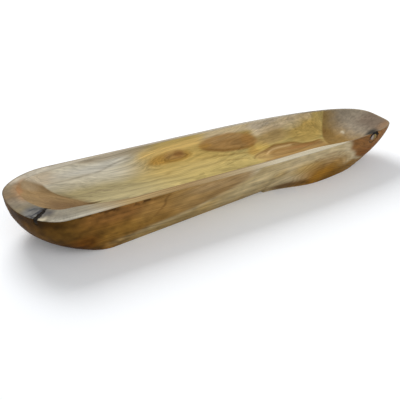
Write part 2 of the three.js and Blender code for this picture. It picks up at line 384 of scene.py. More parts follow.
def trough_height(x, y):
    low, high = np.zeros_like(x), np.ones_like(x)
    along = np.clip((x - BLUNT_START) / (RAMP_START - BLUNT_START), 0, 1)
    curve = mix(TROUGH_CURVE_BLUNT, TROUGH_CURVE_BOW, along)
    for _ in range(HALVINGS):
        spread = (low + high) / 2
        rise = spread**curve
        ramp_x = RAMP_START + (x - RAMP_START) / np.maximum(rise, TINY)
        edge_x = np.where(x > RAMP_START, ramp_x, x)
        width = mix(FLOOR_WIDTH / BEAM, 1, spread)
        reached = y <= side_y(edge_x, far_edge, END_FAR_Y) * width
        reached &= y >= side_y(edge_x, near_edge, END_NEAR_Y) * width
        reached &= edge_x <= edge[0, 0]
        low, high = np.where(reached, low, spread), np.where(reached, spread, high)
    return mix(FLOOR_THICKNESS, HEIGHT, high**curve)


def scoop_height(x, y):
    blunt = edge[edge[:, 0] < BLUNT_START + 1]
    blunt = blunt[np.argsort(blunt[:, 1])]
    outside = np.maximum(y - blunt[-1, 1], 0) + np.maximum(blunt[0, 1] - y, 0)
    start = np.interp(y, blunt[:, 1], blunt[:, 0])
    farness = np.clip((y - NEAR_Y) / BEAM, 0, 1) ** SCOOP_TWIST
    slope = np.tan(np.radians(mix(SCOOP_SLOPE_NEAR, SCOOP_SLOPE_FAR, farness)))
    return HEIGHT - slope * (x - start) - outside


def hollow_height(x, y):
    trough, scoop = trough_height(x, y), scoop_height(x, y)
    overlap = np.clip(CREASE_ROUND - np.abs(trough - scoop), 0, None)
    return np.minimum(np.maximum(trough, scoop) + overlap**2 / (4 * CREASE_ROUND), HEIGHT)


print("floor at", round(float(hollow_height(np.array([0.0]), np.array([0.0]))[0]), 2), "mm")

# %% [markdown]
# ## The bowl's surface as one closed net
# The whole bowl is one net of rows and columns: rows run round the bowl, from the middle of the
# foot out to its edge, up the wall, over the rim and down into the hollow. A sculpted mesh or a
# subdivision surface would do as well, but a net made from the measures stays true to them, and it
# is fine enough to carry gouge marks as real shape.

# %% Rows of the net
FOOT_ROWS, WALL_ROWS, HOLLOW_ROWS = 8, 38, 42
EDGE_STEPS = [0.5, 1.2, 2.2]
EDGE_SHARES = [0.1, 0.25, 0.38]
EDGE_BAND = 3.5
SPINE_SHARE = 0.86
FOOT_SLOT, HOLLOW_SLOT = 0.03, 0.015
HOLLOW_SPACING = 1.25


def spine_of(ring):
    """The middle line under a ring, which its points shrink to."""
    x = mix(ring[:, 0].mean(), ring[:, 0], SPINE_SHARE)
    far, near = two_sides(ring)
    y = (np.interp(x, far[:, 0], far[:, 1]) + np.interp(x, near[:, 0], near[:, 1])) / 2
    return np.stack([x, y], -1)


def foot_rows():
    foot = wall_ring(0.0)[:, :2]
    shares = np.linspace(FOOT_SLOT, 1, FOOT_ROWS, endpoint=False)
    plans = [mix(spine_of(foot), foot, share) for share in shares]
    return [np.column_stack([plan, np.zeros(COLUMNS)]) for plan in plans]


def wall_rows():
    levels = (1 - np.cos(np.linspace(0, math.pi / 2, WALL_ROWS))) * (HEIGHT - EDGE_BAND)
    levels = [*levels, *[HEIGHT - step for step in EDGE_STEPS[::-1]]]
    return [wall_ring(z) for z in levels]


def land_rows():
    near_outer = [np.minimum(step, widths * share) for step, share in zip(EDGE_STEPS, EDGE_SHARES)]
    near_inner = [widths - step for step in near_outer[::-1]]
    offsets = [0 * widths, *near_outer, widths / 2, *near_inner, widths]
    return [np.column_stack([rim + inward * o[:, None], np.full(COLUMNS, HEIGHT)]) for o in offsets]


def hollow_rows():
    shares = np.linspace(0, 1, HOLLOW_ROWS + 1)[1:] ** HOLLOW_SPACING
    plans = [mix(edge, spine_of(edge), share * (1 - HOLLOW_SLOT)) for share in shares]
    return [np.column_stack([plan, hollow_height(*plan.T)]) for plan in plans]


parts_of_net = {"foot": foot_rows(), "wall": wall_rows(), "land": land_rows(), "hollow": hollow_rows()}
net = np.array([row for rows in parts_of_net.values() for row in rows])
print("net", net.shape[0], "rows of", net.shape[1], "points")

# %% [markdown]
# ## Smooth noise
# Carved wood is uneven in many ways: its surface, its colour and its grain all wander. Blender has
# noise nodes for finishes, and noise for one point at a time. Here random heights on a lattice are
# blended for the whole net at once, so that shape and colour can both use them. Fixed seeds make
# the bowl the same each time.

# %% Noise on points
LATTICE = 32
NOISE_LAYERS = 3


def smooth_noise(u, v, w, seed):
    """Smooth random heights from -1 to 1, one bump for each unit of u, v and w."""
    heights = np.random.default_rng(seed).uniform(-1, 1, (LATTICE,) * 3)
    corner = [np.floor(a).astype(int) for a in (u, v, w)]
    part = [ease(a - c, 0, 1) for a, c in zip((u, v, w), corner)]
    total = np.zeros(np.shape(u))
    for pick in np.ndindex(2, 2, 2):
        share = np.ones(np.shape(u))
        for bit, a in zip(pick, part):
            share = share * (a if bit else 1 - a)
        place = tuple((c + bit) % LATTICE for c, bit in zip(corner, pick))
        total = total + share * heights[place]
    return total


def noise_on(points, sizes, seed, layers=NOISE_LAYERS):
    """Noise at points, with bumps of the given length, width and height, and finer ones on top."""
    u, v, w = [points[..., k] / size for k, size in enumerate(sizes)]
    weights = [0.5**k for k in range(layers)]
    total = sum(smooth_noise(u * 2**k, v * 2**k, w * 2**k, seed + k) * weights[k] for k in range(layers))
    return total / sum(weights)


print("noise in", NOISE_LAYERS, "layers")

# %% [markdown]
# ## Hand-carved unevenness
# A bowl like this is roughed out with an adze and gouges and then sanded, so no surface is quite
# fair: the walls wander a little, and long shallow gouge strokes run along the trough. Bump in a
# material would only paint that, so the net itself is moved, along its own normals, by smooth noise.
# The sharp edges are first rounded a little, as sanding does.

# %% Uneven surface
WANDER, WANDER_SIZE = 0.5, (60, 28, 28)
GOUGE_DEPTH, GOUGE_SIZE = 0.22, (85, 7, 9)
CHATTER_DEPTH, CHATTER_SIZE = 0.11, (9, 9, 9)
LAND_SHARE, WALL_GOUGE_SHARE = 0.3, 0.7
HIGHEST_LIFT = 0.35
SANDING_PASSES, SANDING_SHARE = 3, 0.5
FOOT_EDGE = 6


def rows_of(part):
    """1 on the net's points that belong to a part of the bowl, 0 on the others."""
    return np.repeat(row_part == part, COLUMNS).reshape(-1, COLUMNS) * 1.0


def net_normals(points):
    """Normals of the net, pointing out of the wood."""
    around = np.roll(points, -1, 1) - np.roll(points, 1, 1)
    normal = np.cross(around, np.gradient(points, axis=0))
    return normal / np.maximum(np.linalg.norm(normal, axis=-1, keepdims=True), TINY)


row_part = np.concatenate([[name] * len(rows) for name, rows in parts_of_net.items()])
on_foot, in_wall, on_land, in_hollow = [rows_of(part) for part in parts_of_net]
for _ in range(SANDING_PASSES):
    between = (net[:-2] + net[2:]) / 2
    net[1:-1] += SANDING_SHARE * (between - net[1:-1]) * (1 - on_foot[1:-1])[..., None]
above_foot = in_wall * ease(net[..., 2], 0, FOOT_EDGE)
lift = noise_on(net, WANDER_SIZE, seed=3) * WANDER * (in_hollow + above_foot + LAND_SHARE * on_land)
gouges = noise_on(net, GOUGE_SIZE, seed=9, layers=1) * GOUGE_DEPTH
lift += gouges * (in_hollow + WALL_GOUGE_SHARE * above_foot)
lift += noise_on(net, CHATTER_SIZE, seed=12, layers=1) * CHATTER_DEPTH * (in_hollow + above_foot)
lift = np.minimum(lift, HIGHEST_LIFT)
net = net + net_normals(net) * lift[..., None]
net[..., 2] = np.clip(net[..., 2], 0, HEIGHT)
net[..., 1] = np.clip(net[..., 1], NEAR_Y, FAR_Y)
print("surface moved", round(lift.min(), 2), "to", round(lift.max(), 2), "mm")

# %% [markdown]
# ## From net to mesh
# Neighbouring rows and columns make four-sided faces. The innermost row of the foot and of the
# hollow is a narrow slot. It could be closed with one large face, but a face with hundreds of
# corners shades badly, so each far point is joined to the near point beside it.

# %% Mesh from the net


def net_faces(rows, columns):
    here = np.arange(rows * columns).reshape(rows, columns)
    right = np.roll(here, -1, 1)
    sides = np.stack([here[:-1], right[:-1], right[1:], here[1:]], -1).reshape(-1, 4)
    half = columns // 2
    i = np.arange(1, half - 1)
    slot_sides = [i, i + 1, columns - i - 1, columns - i]
    top = here[-1][np.stack(slot_sides, -1)]
    bottom = here[0][np.stack(slot_sides[::-1], -1)]
    faces = [*sides.tolist(), *top.tolist(), *bottom.tolist()]
    for row, flip in ((here[-1], 1), (here[0], -1)):
        faces.append([int(row[k]) for k in (0, 1, columns - 1)][::flip])
        faces.append([int(row[k]) for k in (half - 1, half, half + 1)][::flip])
    return faces


def mesh_object(name, points, faces):
    mesh = bpy.data.meshes.new(name)
    mesh.from_pydata((points * MM).tolist(), [], faces)
    mesh.polygons.foreach_set("use_smooth", [True] * len(mesh.polygons))
    made = bpy.data.objects.new(name, mesh)
    scene.collection.objects.link(made)
    return made


bowl = mesh_object("carved_bowl", net.reshape(-1, 3), net_faces(*net.shape[:2]))
print("bowl faces", len(bowl.data.polygons))

# %% [markdown]
# ## The figure of the wood
# The log's colour runs from pale sapwood to brown heartwood, and the carving cuts through both, so
# the hollow shows islands and flames of heartwood. Wood like that can be painted by hand, or made
# from noise alone. Here each patch is laid on like a glaze: a named colour, at a place and a size in
# millimetres, with an edge that wanders. The net's points carry the result as a colour attribute.

# %% Soft shapes
PATH_ROUNDING = 2.5


def fall(value, start, stop):
    """1 before start, 0 after stop."""
    return 1 - ease(value, start, stop)


def span(value, start, stop):
    """1 between two limits. Each is the pair of values that its soft edge lies between."""
    return ease(value, *start) * fall(value, *stop)


def hill(gap, width):
    """1 where the gap is nothing, and soon 0 beyond the width."""
    return np.exp(-((gap / width) ** 2))


def oval(a, b, at, half, turn=0, soft=0.3, power=2):
    """1 inside an oval, 0 outside, with a soft edge."""
    turn = math.radians(turn)
    da, db = a - at[0], b - at[1]
    across = np.abs(da * math.cos(turn) + db * math.sin(turn)) / half[0]
    up = np.abs(db * math.cos(turn) - da * math.sin(turn)) / half[1]
    return fall((across**power + up**power) ** (1 / power), 1 - soft, 1 + soft)


def drawn(a, path):
    """How high a drawn line lies at a, from corner to corner."""
    return np.interp(a, *zip(*path))


def rounded(a, path):
    """How high a drawn line lies at a, with its corners rounded."""
    return sum(drawn(a + k * PATH_ROUNDING, path) for k in range(-2, 3)) / 5


def ends_of(a, path, fade):
    """1 between a drawn line's ends, fading out at them."""
    first, last = path[0][0], path[-1][0]
    return span(a, (first, first + fade), (last - fade, last))


def streak(a, b, path, width, fade=12):
    """1 on a drawn line and 0 away from it."""
    return hill(b - rounded(a, path), width) * ends_of(a, path, fade)


def under(a, b, path, soft, fade):
    """1 below a drawn line and between its ends."""
    return fall(b - rounded(a, path), -soft, soft) * ends_of(a, path, fade)


def along(a, stops):
    """A colour that changes along a through the given stops."""
    places, colours = zip(*stops)
    return np.stack([np.interp(a, places, channel) for channel in zip(*colours)], -1)


print("a soft oval, out from its middle", oval(np.array([0, 0.9, 1.1, 2]), 0, (0, 0), (1, 1)).round(2))

# %% [markdown]
# ## Laying on a glaze
# A finisher lays thin coats one over the other, and each lets the last one through. The same can be
# done with layers in a shader, but dozens of them would be slow and hard to read. Here every point
# keeps one colour, and each coat mixes its own into it, as strongly as its share.

# %% Glazes
DRIFT_X, DRIFT_Y, DRIFT_Z = 7, 2, 2.5
LONG_DRIFT, SHORT_DRIFT = (40, 14, 14), (34, 11, 11)
NEAR_BLEND = (-35, 15)
tone = np.zeros(net.shape)
x, y, z = np.moveaxis(net, -1, 0)
# u, v and w are x, y and z with a drift in them, so that drawn edges wander as grain does
u = x + DRIFT_X * noise_on(net, LONG_DRIFT, seed=21)
v = y + DRIFT_Y * noise_on(net, SHORT_DRIFT, seed=27)
w = z + DRIFT_Z * noise_on(net, SHORT_DRIFT, seed=33)
on_top = in_hollow + on_land
outside = 1 - on_top
near_side = outside * ease(-y, *NEAR_BLEND)


def glaze(colour, share):
    """Lay a colour over the wood, as strongly as its share."""
    tone[:] = mix(tone, np.array(colour), np.clip(share, 0, 1)[..., None])


def shade(change):
    """Make the wood lighter or darker by a share of its own colour."""
    tone[:] = tone * (1 + change)[..., None]


def patch(colour, share, at, half, **shape):
    """Glaze an oval, placed as seen from above."""
    glaze(colour, share * oval(u, v, at, half, **shape))


def line(colour, share, path, width, fade=12):
    """Glaze a drawn line, placed as seen from above."""
    glaze(colour, share * streak(u, v, path, width, fade))


print("drift of edges up to", round(np.abs(u - x).max(), 1), "mm")

# %% [markdown]
# ## Pale sapwood in the hollow
# The blunt half of the hollow is sapwood, the log's pale outer wood: greenish on the floor, nearly
# white under the far rim, with a few dark growth lines. One even colour would look like plastic, so
# a soft change along the bowl comes first, and the whites and lines are glazed over it.

# %% Sapwood
GREEN_CREAM, STRAW = (0.40, 0.335, 0.175), (0.48, 0.37, 0.135)
GREY_CREAM, BISCUIT, CHALK = (0.72, 0.67, 0.535), (0.64, 0.53, 0.38), (0.66, 0.64, 0.57)
SAP_LINE, BRIM_TAN = (0.24, 0.185, 0.115), (0.42, 0.34, 0.24)
SAP_PATHS = (
    [(-256, 56), (-225, 57), (-200, 60), (-165, 63.5)],
    [(-246, 46), (-210, 45), (-195, 47), (-165, 52), (-140, 56), (-95, 62.5)],
    [(-210, 26), (-180, 26), (-160, 22), (-145, 14)],
)
tone[:] = along(ease(u, -170, -20), [(0, GREEN_CREAM), (1, STRAW)])
glaze(GREY_CREAM, 0.95 * ease(v, 28, 49) * fall(u, -150, -75))
patch(BISCUIT, 0.7, at=(-256, 51), half=(28, 6))
patch(CHALK, 0.75, at=(-172, 55), half=(50, 4.5), turn=4, soft=0.5)
for path in SAP_PATHS:
    line(SAP_LINE, 0.5, path, width=0.8)
glaze(BRIM_TAN, 0.65 * ease(v, 58.5, 62.5) * span(u, (-235, -205), (-110, -75)))
print("sapwood lines", len(SAP_PATHS))

# %% [markdown]
# ## An eye and an island of heartwood
# On the far wall the cut just grazes the brown heartwood, which shows as an eye with a dark core and
# as a large island, pointed like a leaf. A picture would give their exact lines, but only from one
# side. Ovals laid one over the other, and a few drawn lines, have the same look and stay on the wood.

# %% Eye and island
GOLD, BRIGHT_GOLD, PALE_BRIM = (0.68, 0.46, 0.135), (0.78, 0.55, 0.20), (0.70, 0.58, 0.38)
AMBER, HEART, DARK_HEART = (0.45, 0.25, 0.05), (0.41, 0.24, 0.09), (0.25, 0.135, 0.035)
EYE_CORE, GREY_BROWN = (0.33, 0.165, 0.05), (0.70, 0.585, 0.41)
ISLAND_END, ISLAND_LINE, ISLAND_LIGHT = (0.40, 0.21, 0.06), (0.33, 0.185, 0.06), (0.50, 0.33, 0.15)
ISLAND_AT = (45.5, 48.5)
ABOVE_EYE = [(-120, 55), (-72, 57), (-20, 58), (14, 60)]
ISLAND_FOOT = [(-8, 50), (25, 43), (50, 40), (75, 37.5), (92, 42)]
ISLAND_PATHS = ([(5, 50), (35, 47), (65, 44.5), (90, 45)], [(25, 53), (50, 51), (80, 48)])
ISLAND_TOP = [(8, 54), (40, 55.5), (80, 53)]
patch(GOLD, 0.45, at=(-40, 43), half=(76, 23), soft=0.5)
glaze(PALE_BRIM, 0.9 * ease(v, 55.5, 59) * span(u, (-20, 20), (90, 120)))
patch(AMBER, 0.85, at=(-60, 47.5), half=(35, 6.8))
patch(HEART, 0.7, at=(-52, 49.5), half=(17, 5.6))
patch(EYE_CORE, 0.95, at=(-46, 50.5), half=(8, 4), soft=0.4)
line(BRIGHT_GOLD, 0.95, ABOVE_EYE, width=4, fade=25)
glaze(GREY_BROWN, 0.9 * ease(v, 46, 53) * span(u, (82, 98), (205, 216)))
patch(HEART, 0.95, at=ISLAND_AT, half=(50, 10.6), turn=-5, soft=0.14, power=1.75)
patch(AMBER, 0.6, at=(4, 51.5), half=(11, 2.5), soft=0.5)
patch(ISLAND_END, 0.8, at=(79, 48), half=(13, 7.5), soft=0.4)
line(DARK_HEART, 0.9, ISLAND_FOOT, width=2.2)
for path in ISLAND_PATHS:
    line(ISLAND_LINE, 0.55, path, width=1.2)
line(ISLAND_LIGHT, 0.5, ISLAND_TOP, width=1.8)
print("island at", ISLAND_AT)

# %% [markdown]
# ## Floor and gold
# Beside the island the floor is straw and olive, and before the ramp it turns to clear gold, with
# grey waves above it. Sharp shapes would look like inlay, so the patches are large and soft, and
# read as one wood.

# %% Floor and gold
HONEY, PALE_STRAW, OLIVE = (0.60, 0.42, 0.12), (0.54, 0.43, 0.18), (0.36, 0.28, 0.10)
FLOOR_LINE, WAVE_LINE = (0.22, 0.135, 0.035), (0.32, 0.24, 0.14)
DULL_GOLD, CLEAR_GOLD = (0.50, 0.35, 0.11), (0.58, 0.41, 0.125)
ASH, NUT, SAND = (0.50, 0.44, 0.35), (0.41, 0.285, 0.125), (0.53, 0.44, 0.25)
PALE_WAVE, SMALL_EYE = (0.62, 0.52, 0.34), (0.36, 0.27, 0.09)
FLOOR_PATHS = (
    [(-85, 25), (-45, 30), (-25, 34), (0, 36), (30, 34), (75, 28)],
    [(-30, 22), (20, 24), (70, 14)],
)
WAVE_LEVELS = (46, 49.5, 53, 56.5, 60)
PALE_WAVE_PATH = [(122, 57), (150, 55.5), (180, 52)]
patch(AMBER, 0.6, at=(80, 29), half=(12, 9), soft=0.5)
patch(HONEY, 0.9, at=(98, 34), half=(14, 8))
for path in FLOOR_PATHS:
    line(FLOOR_LINE, 0.5, path, width=1.7)
patch(PALE_STRAW, 0.5, at=(-26, 26), half=(42, 10), soft=0.6)
patch(OLIVE, 0.75, at=(25, -6), half=(60, 14), soft=0.7)
patch(ASH, 0.7, at=(118, 60), half=(36, 3.5))
for level in WAVE_LEVELS:
    wave = [(95, level + 1), (120, level), (160, level - 0.5), (208, level - 4)]
    line(WAVE_LINE, 0.5, wave, width=0.7)
patch(along(u, [(165, DULL_GOLD), (205, CLEAR_GOLD)]), 0.9, at=(188, 36), half=(34, 16))
patch(NUT, 0.8, at=(124, 43), half=(32, 9), soft=0.5)
line(PALE_WAVE, 0.7, PALE_WAVE_PATH, width=1.6)
patch(SMALL_EYE, 0.3, at=(167, 36), half=(6, 3), soft=0.5)
patch(SAND, 0.6, at=(170, 50), half=(20, 4), soft=0.5)
print("floor lines", len(FLOOR_PATHS), "waves", len(WAVE_LEVELS))

# %% [markdown]
# ## The flame
# Along the near side of the floor a tongue of heartwood runs towards the bow, with a dark edge and
# lighter lines inside it. Its upper edge is the one line that has to be right, so that is drawn
# point by point, and the brown is laid on under it. The gold beside it swirls too finely to be
# drawn, so noise makes it lighter and darker by up to a third.

# %% Flame
FLAME, FLAME_START = (0.31, 0.18, 0.065), (0.46, 0.32, 0.125)
FLAME_LIGHT, FLAME_RED = (0.58, 0.40, 0.19), (0.27, 0.12, 0.04)
FLAME_EDGE = [
    (66, 6), (75, 15), (86, 20), (105, 26), (118, 31), (140, 28), (158, 25), (167, 18), (188, 15),
    (208, 18), (218, 8),
]
FLAME_LIGHT_PATH = [(94, 8), (101, 17), (112, 22), (126, 23.5), (150, 22)]
FLAME_PATHS = (
    [(102, 11), (116, 15.5), (140, 17)],
    [(110, 2), (135, 2), (165, 2)],
    [(140, 22), (165, 15), (200, 11)],
)
glaze(FLAME, 0.9 * under(u, v, FLAME_EDGE, soft=1.5, fade=22) * ease(v, -48, -18))
line(DARK_HEART, 0.9, FLAME_EDGE, width=1.7)
patch(FLAME_START, 0.65, at=(88, 9), half=(13, 12), soft=0.6)
line(FLAME_LIGHT, 0.9, FLAME_LIGHT_PATH, width=1.9, fade=6)
patch(FLAME_RED, 0.6, at=(165, 12), half=(30, 5), soft=0.6)
for path in FLAME_PATHS:
    line(DARK_HEART, 0.7, path, width=1.5)
gold_swirl = noise_on(net, (16, 9, 9), seed=58) * oval(u, v, (188, 38), (36, 20), soft=0.5)
shade(0.3 * gold_swirl * in_hollow)
print("flame from", FLAME_EDGE[0][0], "to", FLAME_EDGE[-1][0], "mm")

# %% [markdown]
# ## The scooped blunt end
# The scoop cuts across the fibres. End grain soaks up more oil, so it is darker and browner than the
# trough, and its near side is darkened further with painted shade, as is the crease. Where the scoop
# begins is not drawn: its height is compared with the trough's, so that the change of colour lies
# exactly on the crease.

# %% Figure of the scoop
SCOOP_BROWN, SCOOP_SHADE, SCOOP_LIGHT = (0.25, 0.158, 0.07), (0.14, 0.08, 0.034), (0.36, 0.265, 0.155)
CREASE_SHADE, ORANGE = (0.21, 0.135, 0.06), (0.34, 0.175, 0.078)
SCOOP_END_X = -150
CREASE_WIDTH = 3.5
FIBRE_COS, FIBRE_SIN = 0.5, 0.86
above_trough = scoop_height(x, y) - trough_height(x, y)
at_blunt_end = (x < SCOOP_END_X) * on_top
in_scoop = ease(above_trough, -1.5, 1.5) * at_blunt_end * fall(y, 43, 49)
turned = np.stack([FIBRE_COS * x + FIBRE_SIN * y, FIBRE_SIN * x - FIBRE_COS * y, 0 * x], -1)
glaze(SCOOP_BROWN, 0.95 * in_scoop)
shade(0.26 * in_scoop * noise_on(turned, (4, 34, 1), seed=45))
# painted shade along the crease between the scoop and the trough
glaze(CREASE_SHADE, 0.6 * hill(above_trough, CREASE_WIDTH) * at_blunt_end * fall(y, 26, 40))
# painted shade on the scoop's near side
glaze(SCOOP_SHADE, 0.9 * in_scoop * fall(y, -14, 26) * ease(x, -266, -240))
patch(SCOOP_LIGHT, 0.85 * in_scoop, at=(-267, 40), half=(11, 10), soft=0.6)
patch(ORANGE, 0.8 * on_top, at=(-279, 17), half=(3.5, 22), soft=0.7)
print("points in the scoop", round(in_scoop.sum()))

# %% [markdown]
# ## The ramp to the bow
# The ramp is end grain too: brown at its foot, grey and mottled higher up, with a black stain that
# has run out of the dead branch. Its lower edge is a curve on the real bowl, so it is drawn as a
# line from side to side, and everything here is kept behind that line.

# %% Figure of the ramp
RAMP_BROWN, RAMP_GOLD, RAMP_TAN = (0.235, 0.135, 0.04), (0.30, 0.205, 0.075), (0.33, 0.24, 0.13)
RAMP_GREY, RAMP_RED, RAMP_SHADE = (0.275, 0.23, 0.17), (0.20, 0.105, 0.03), (0.165, 0.12, 0.085)
TIP_RED, CREAM, BLACK = (0.27, 0.165, 0.09), (0.58, 0.51, 0.37), (0.03, 0.026, 0.02)
RAMP_EDGE = [(-25, 201), (8, 209), (20, 213), (33, 221), (45, 229), (52, 236)]
on_ramp = ease(x - drawn(y, RAMP_EDGE), -2, 3) * on_top
glaze(RAMP_BROWN, 0.9 * on_ramp)
glaze(RAMP_GOLD, 0.8 * on_ramp * ease(v, 22, 34) * ease(u, 222, 228))
glaze(RAMP_TAN, 0.7 * on_ramp * ease(u, 228, 242))
glaze(RAMP_GREY, on_ramp * ease(u, 236, 262))
patch(RAMP_RED, 0.4 * on_ramp, at=(221, 33), half=(4, 10), soft=0.5)
glaze(RAMP_SHADE, 0.85 * ease(u, 256, 276) * fall(v, -4, 22) * on_ramp)
shade(0.3 * on_ramp * ease(x, 222, 240) * noise_on(net, (5, 3, 3), seed=77))
patch(TIP_RED, 0.8 * on_ramp, at=(288, -42), half=(16, 11), soft=0.6)
patch(CREAM, 0.7 * on_ramp, at=(243, 4), half=(2.2, 4.5), soft=0.5)
patch(BLACK, 0.97 * on_ramp, at=(258, -42), half=(15, 10), turn=40, soft=0.4)
print("points on the ramp", round(on_ramp.sum()))

# %% [markdown]
# ## The flat rim
# The land was sawn, not gouged, and it has weathered: grey round the blunt end, tan and cream along
# the sides. Its colour changes slowly along the bowl, and round the blunt end also across it, so
# two rows of colour stops are enough, and no patch has to be drawn.

# %% Figure of the rim
LAND_PALE, LAND_FAR = (0.52, 0.46, 0.335), (0.46, 0.41, 0.32)
LAND_STOPS = [
    (-300, (0.22, 0.185, 0.125)),
    (-240, (0.22, 0.195, 0.145)),
    (-215, (0.27, 0.235, 0.165)),
    (-165, (0.37, 0.26, 0.115)),
    (-90, (0.31, 0.20, 0.082)),
    (0, (0.40, 0.31, 0.18)),
    (60, LAND_PALE),
    (178, LAND_PALE),
    (195, (0.23, 0.15, 0.08)),
    (300, (0.26, 0.19, 0.12)),
]
BLUNT_LAND_STOPS = [
    (-40, (0.18, 0.145, 0.085)),
    (-24, (0.185, 0.145, 0.08)),
    (-12, (0.25, 0.205, 0.14)),
    (0, (0.25, 0.195, 0.13)),
    (12, (0.22, 0.14, 0.065)),
    (38, (0.22, 0.16, 0.085)),
    (48, (0.41, 0.35, 0.265)),
    (70, LAND_FAR),
]
glaze(along(x, LAND_STOPS), on_land)
glaze(LAND_FAR, 0.85 * on_land * ease(y, 5, 30))
glaze(along(y, BLUNT_LAND_STOPS), 0.9 * on_land * fall(x, -272, -250))
print("rim colours", len(LAND_STOPS) + len(BLUNT_LAND_STOPS))

# %% [markdown]
# ## Painted highlight, shade and stains on the rim
# A pale highlight is painted along the outer edge of the near land, and painted shade darkens its inner
# edge and the far rim's outer edge. A saw left fine ticks, and black has bled out of the bark. The
# distance from the two edges of the land tells where highlight and shade lie, which follows the rim
# better than shapes drawn by hand would. Stains are patches.

# %% Painted highlight, shade and stains
EDGE_HIGHLIGHT, TICK_GREY, INNER_RED = (0.58, 0.54, 0.45), (0.20, 0.18, 0.14), (0.30, 0.18, 0.085)
FAR_EDGE_SHADE, NEAR_EDGE_SHADE, BLUNT_LINE = (0.17, 0.12, 0.07), (0.15, 0.09, 0.04), (0.13, 0.095, 0.055)
STAIN, SPOT, SMUDGE = (0.15, 0.15, 0.145), (0.03, 0.03, 0.035), (0.06, 0.055, 0.055)
FLAT = math.inf
from_rim = np.hypot(x - rim[:, 0], y - rim[:, 1])
from_edge = np.hypot(x - edge[:, 0], y - edge[:, 1])
nearer = y < 0
# painted highlight along the near land's outer edge
edge_highlight = fall(from_rim, 3, 10) * span(u, (-268, -254), (-205, -165)) * nearer
glaze(EDGE_HIGHLIGHT, 0.42 * on_land * edge_highlight)
glaze(INNER_RED, 0.7 * on_land * fall(from_edge, 1, 8) * fall(x, -274, -262) * ease(y, -14, 0))
ticks = ease(np.sin(1.9 * u + 0.7 * v), 0.5, 1) * span(u, (-266, -258), (-236, -222)) * nearer
glaze(TICK_GREY, 0.5 * on_land * ticks)
# painted shade along the far rim's outer edge
glaze(FAR_EDGE_SHADE, 0.85 * on_land * fall(from_rim, 1.0, 3.4) * ease(y, 10, 40))
# painted shade along the near land's inner edge, where it drops into the hollow
shaded = fall(from_edge, 0.8, 2.8) * ease(-y, 40, 50) * span(x, (-215, -190), (60, 120))
glaze(NEAR_EDGE_SHADE, 0.75 * on_top * shaded)
patch(STAIN, 0.85 * on_land, at=(-270, -37), half=(14, 14), soft=0.5)
shade(0.35 * noise_on(net, (8, 8, FLAT), seed=61) * on_land * fall(x, -235, -205))
glaze(BLUNT_LINE, 0.6 * on_land * fall(from_rim, 0.5, 2.5) * fall(x, -280, -262) * ease(y, -30, -10))
spots = ease(noise_on(net, (4, 4, FLAT), seed=47), 0.05, 0.25)
patch(SPOT, spots * on_land, at=(-268, -40), half=(13, 13), soft=0.5)
at_edge = on_top * fall(from_edge, 1.5, 4)
patch(BLACK, 0.85 * at_edge, at=(-259, -36), half=(10, 3.2), turn=-45, soft=0.5)
patch(SMUDGE, 0.85 * on_land, at=(-254, -45), half=(7, 5.5), soft=0.7)
patch(CREAM, 0.8 * on_land, at=(-265, -55), half=(5, 3), soft=0.4)
glaze(BLACK, 0.95 * oval(x, y, at=(243, -56), half=(14, 6), soft=0.5) * on_top)
print("points with saw ticks", round((on_land * ticks).sum()))

# %% [markdown]
# ## The far flank and the foot
# The back of the bowl is hidden in the first view, but it has to hold up when the bowl is turned. It
# could be left plain. It gets the near flank's colours in a calmer order instead, with one wide
# loop where the cut runs along the rings, so that both sides look like the same log.

# %% Figure of the far flank and the foot
FAR_FLANK_STOPS = [
    (-300, (0.20, 0.11, 0.04)),
    (-160, (0.28, 0.17, 0.06)),
    (-20, (0.33, 0.195, 0.062)),
    (120, (0.50, 0.395, 0.225)),
    (210, (0.36, 0.25, 0.12)),
    (300, (0.22, 0.092, 0.022)),
]
FAR_LOOP, FAR_LOOP_LINE = (0.27, 0.15, 0.045), (0.17, 0.09, 0.025)
FAR_PALE, FAR_SHADE, FOOT_BROWN = (0.42, 0.32, 0.17), (0.19, 0.10, 0.03), (0.30, 0.19, 0.075)
FAR_LOOP_AT, FAR_LOOP_HALF = (-60, 12), (150, 40)
FAR_LOOP_LEVELS, FAR_LOOP_WIDTH = (0.3, 0.42, 0.56, 0.68, 0.82, 0.95), 0.02
far_side = outside - near_side


def loops_round(at, half):
    """0 in the middle of an oval on the flank, 1 on it, and so on outwards."""
    return np.hypot((u - at[0]) / half[0], (w - at[1]) / half[1])


glaze(along(u, FAR_FLANK_STOPS), outside)
far_loops = loops_round(FAR_LOOP_AT, FAR_LOOP_HALF)
glaze(FAR_LOOP, 0.7 * far_side * fall(far_loops, 0.2, 1.0))
for level in FAR_LOOP_LEVELS:
    glaze(FAR_LOOP_LINE, 0.4 * far_side * hill(far_loops - level, FAR_LOOP_WIDTH))
glaze(FAR_PALE, 0.6 * far_side * oval(u, w, at=(60, 44), half=(60, 12), turn=-6, soft=0.6))
glaze(FAR_SHADE, 0.6 * far_side * oval(u, w, at=(-215, 24), half=(60, 16), soft=0.6))
glaze(FOOT_BROWN, 0.8 * on_foot)
print("far flank colours", len(FAR_FLANK_STOPS))

# %% [markdown]
# ## The near flank, from the blunt end to the waist
# The blunt end is heartwood, nearly black at the heel and under the rim, and it grows lighter along
# the bowl. Stops along the bowl give that large change, and soft patches break it up, since a plain
# fade from dark to light would look painted.

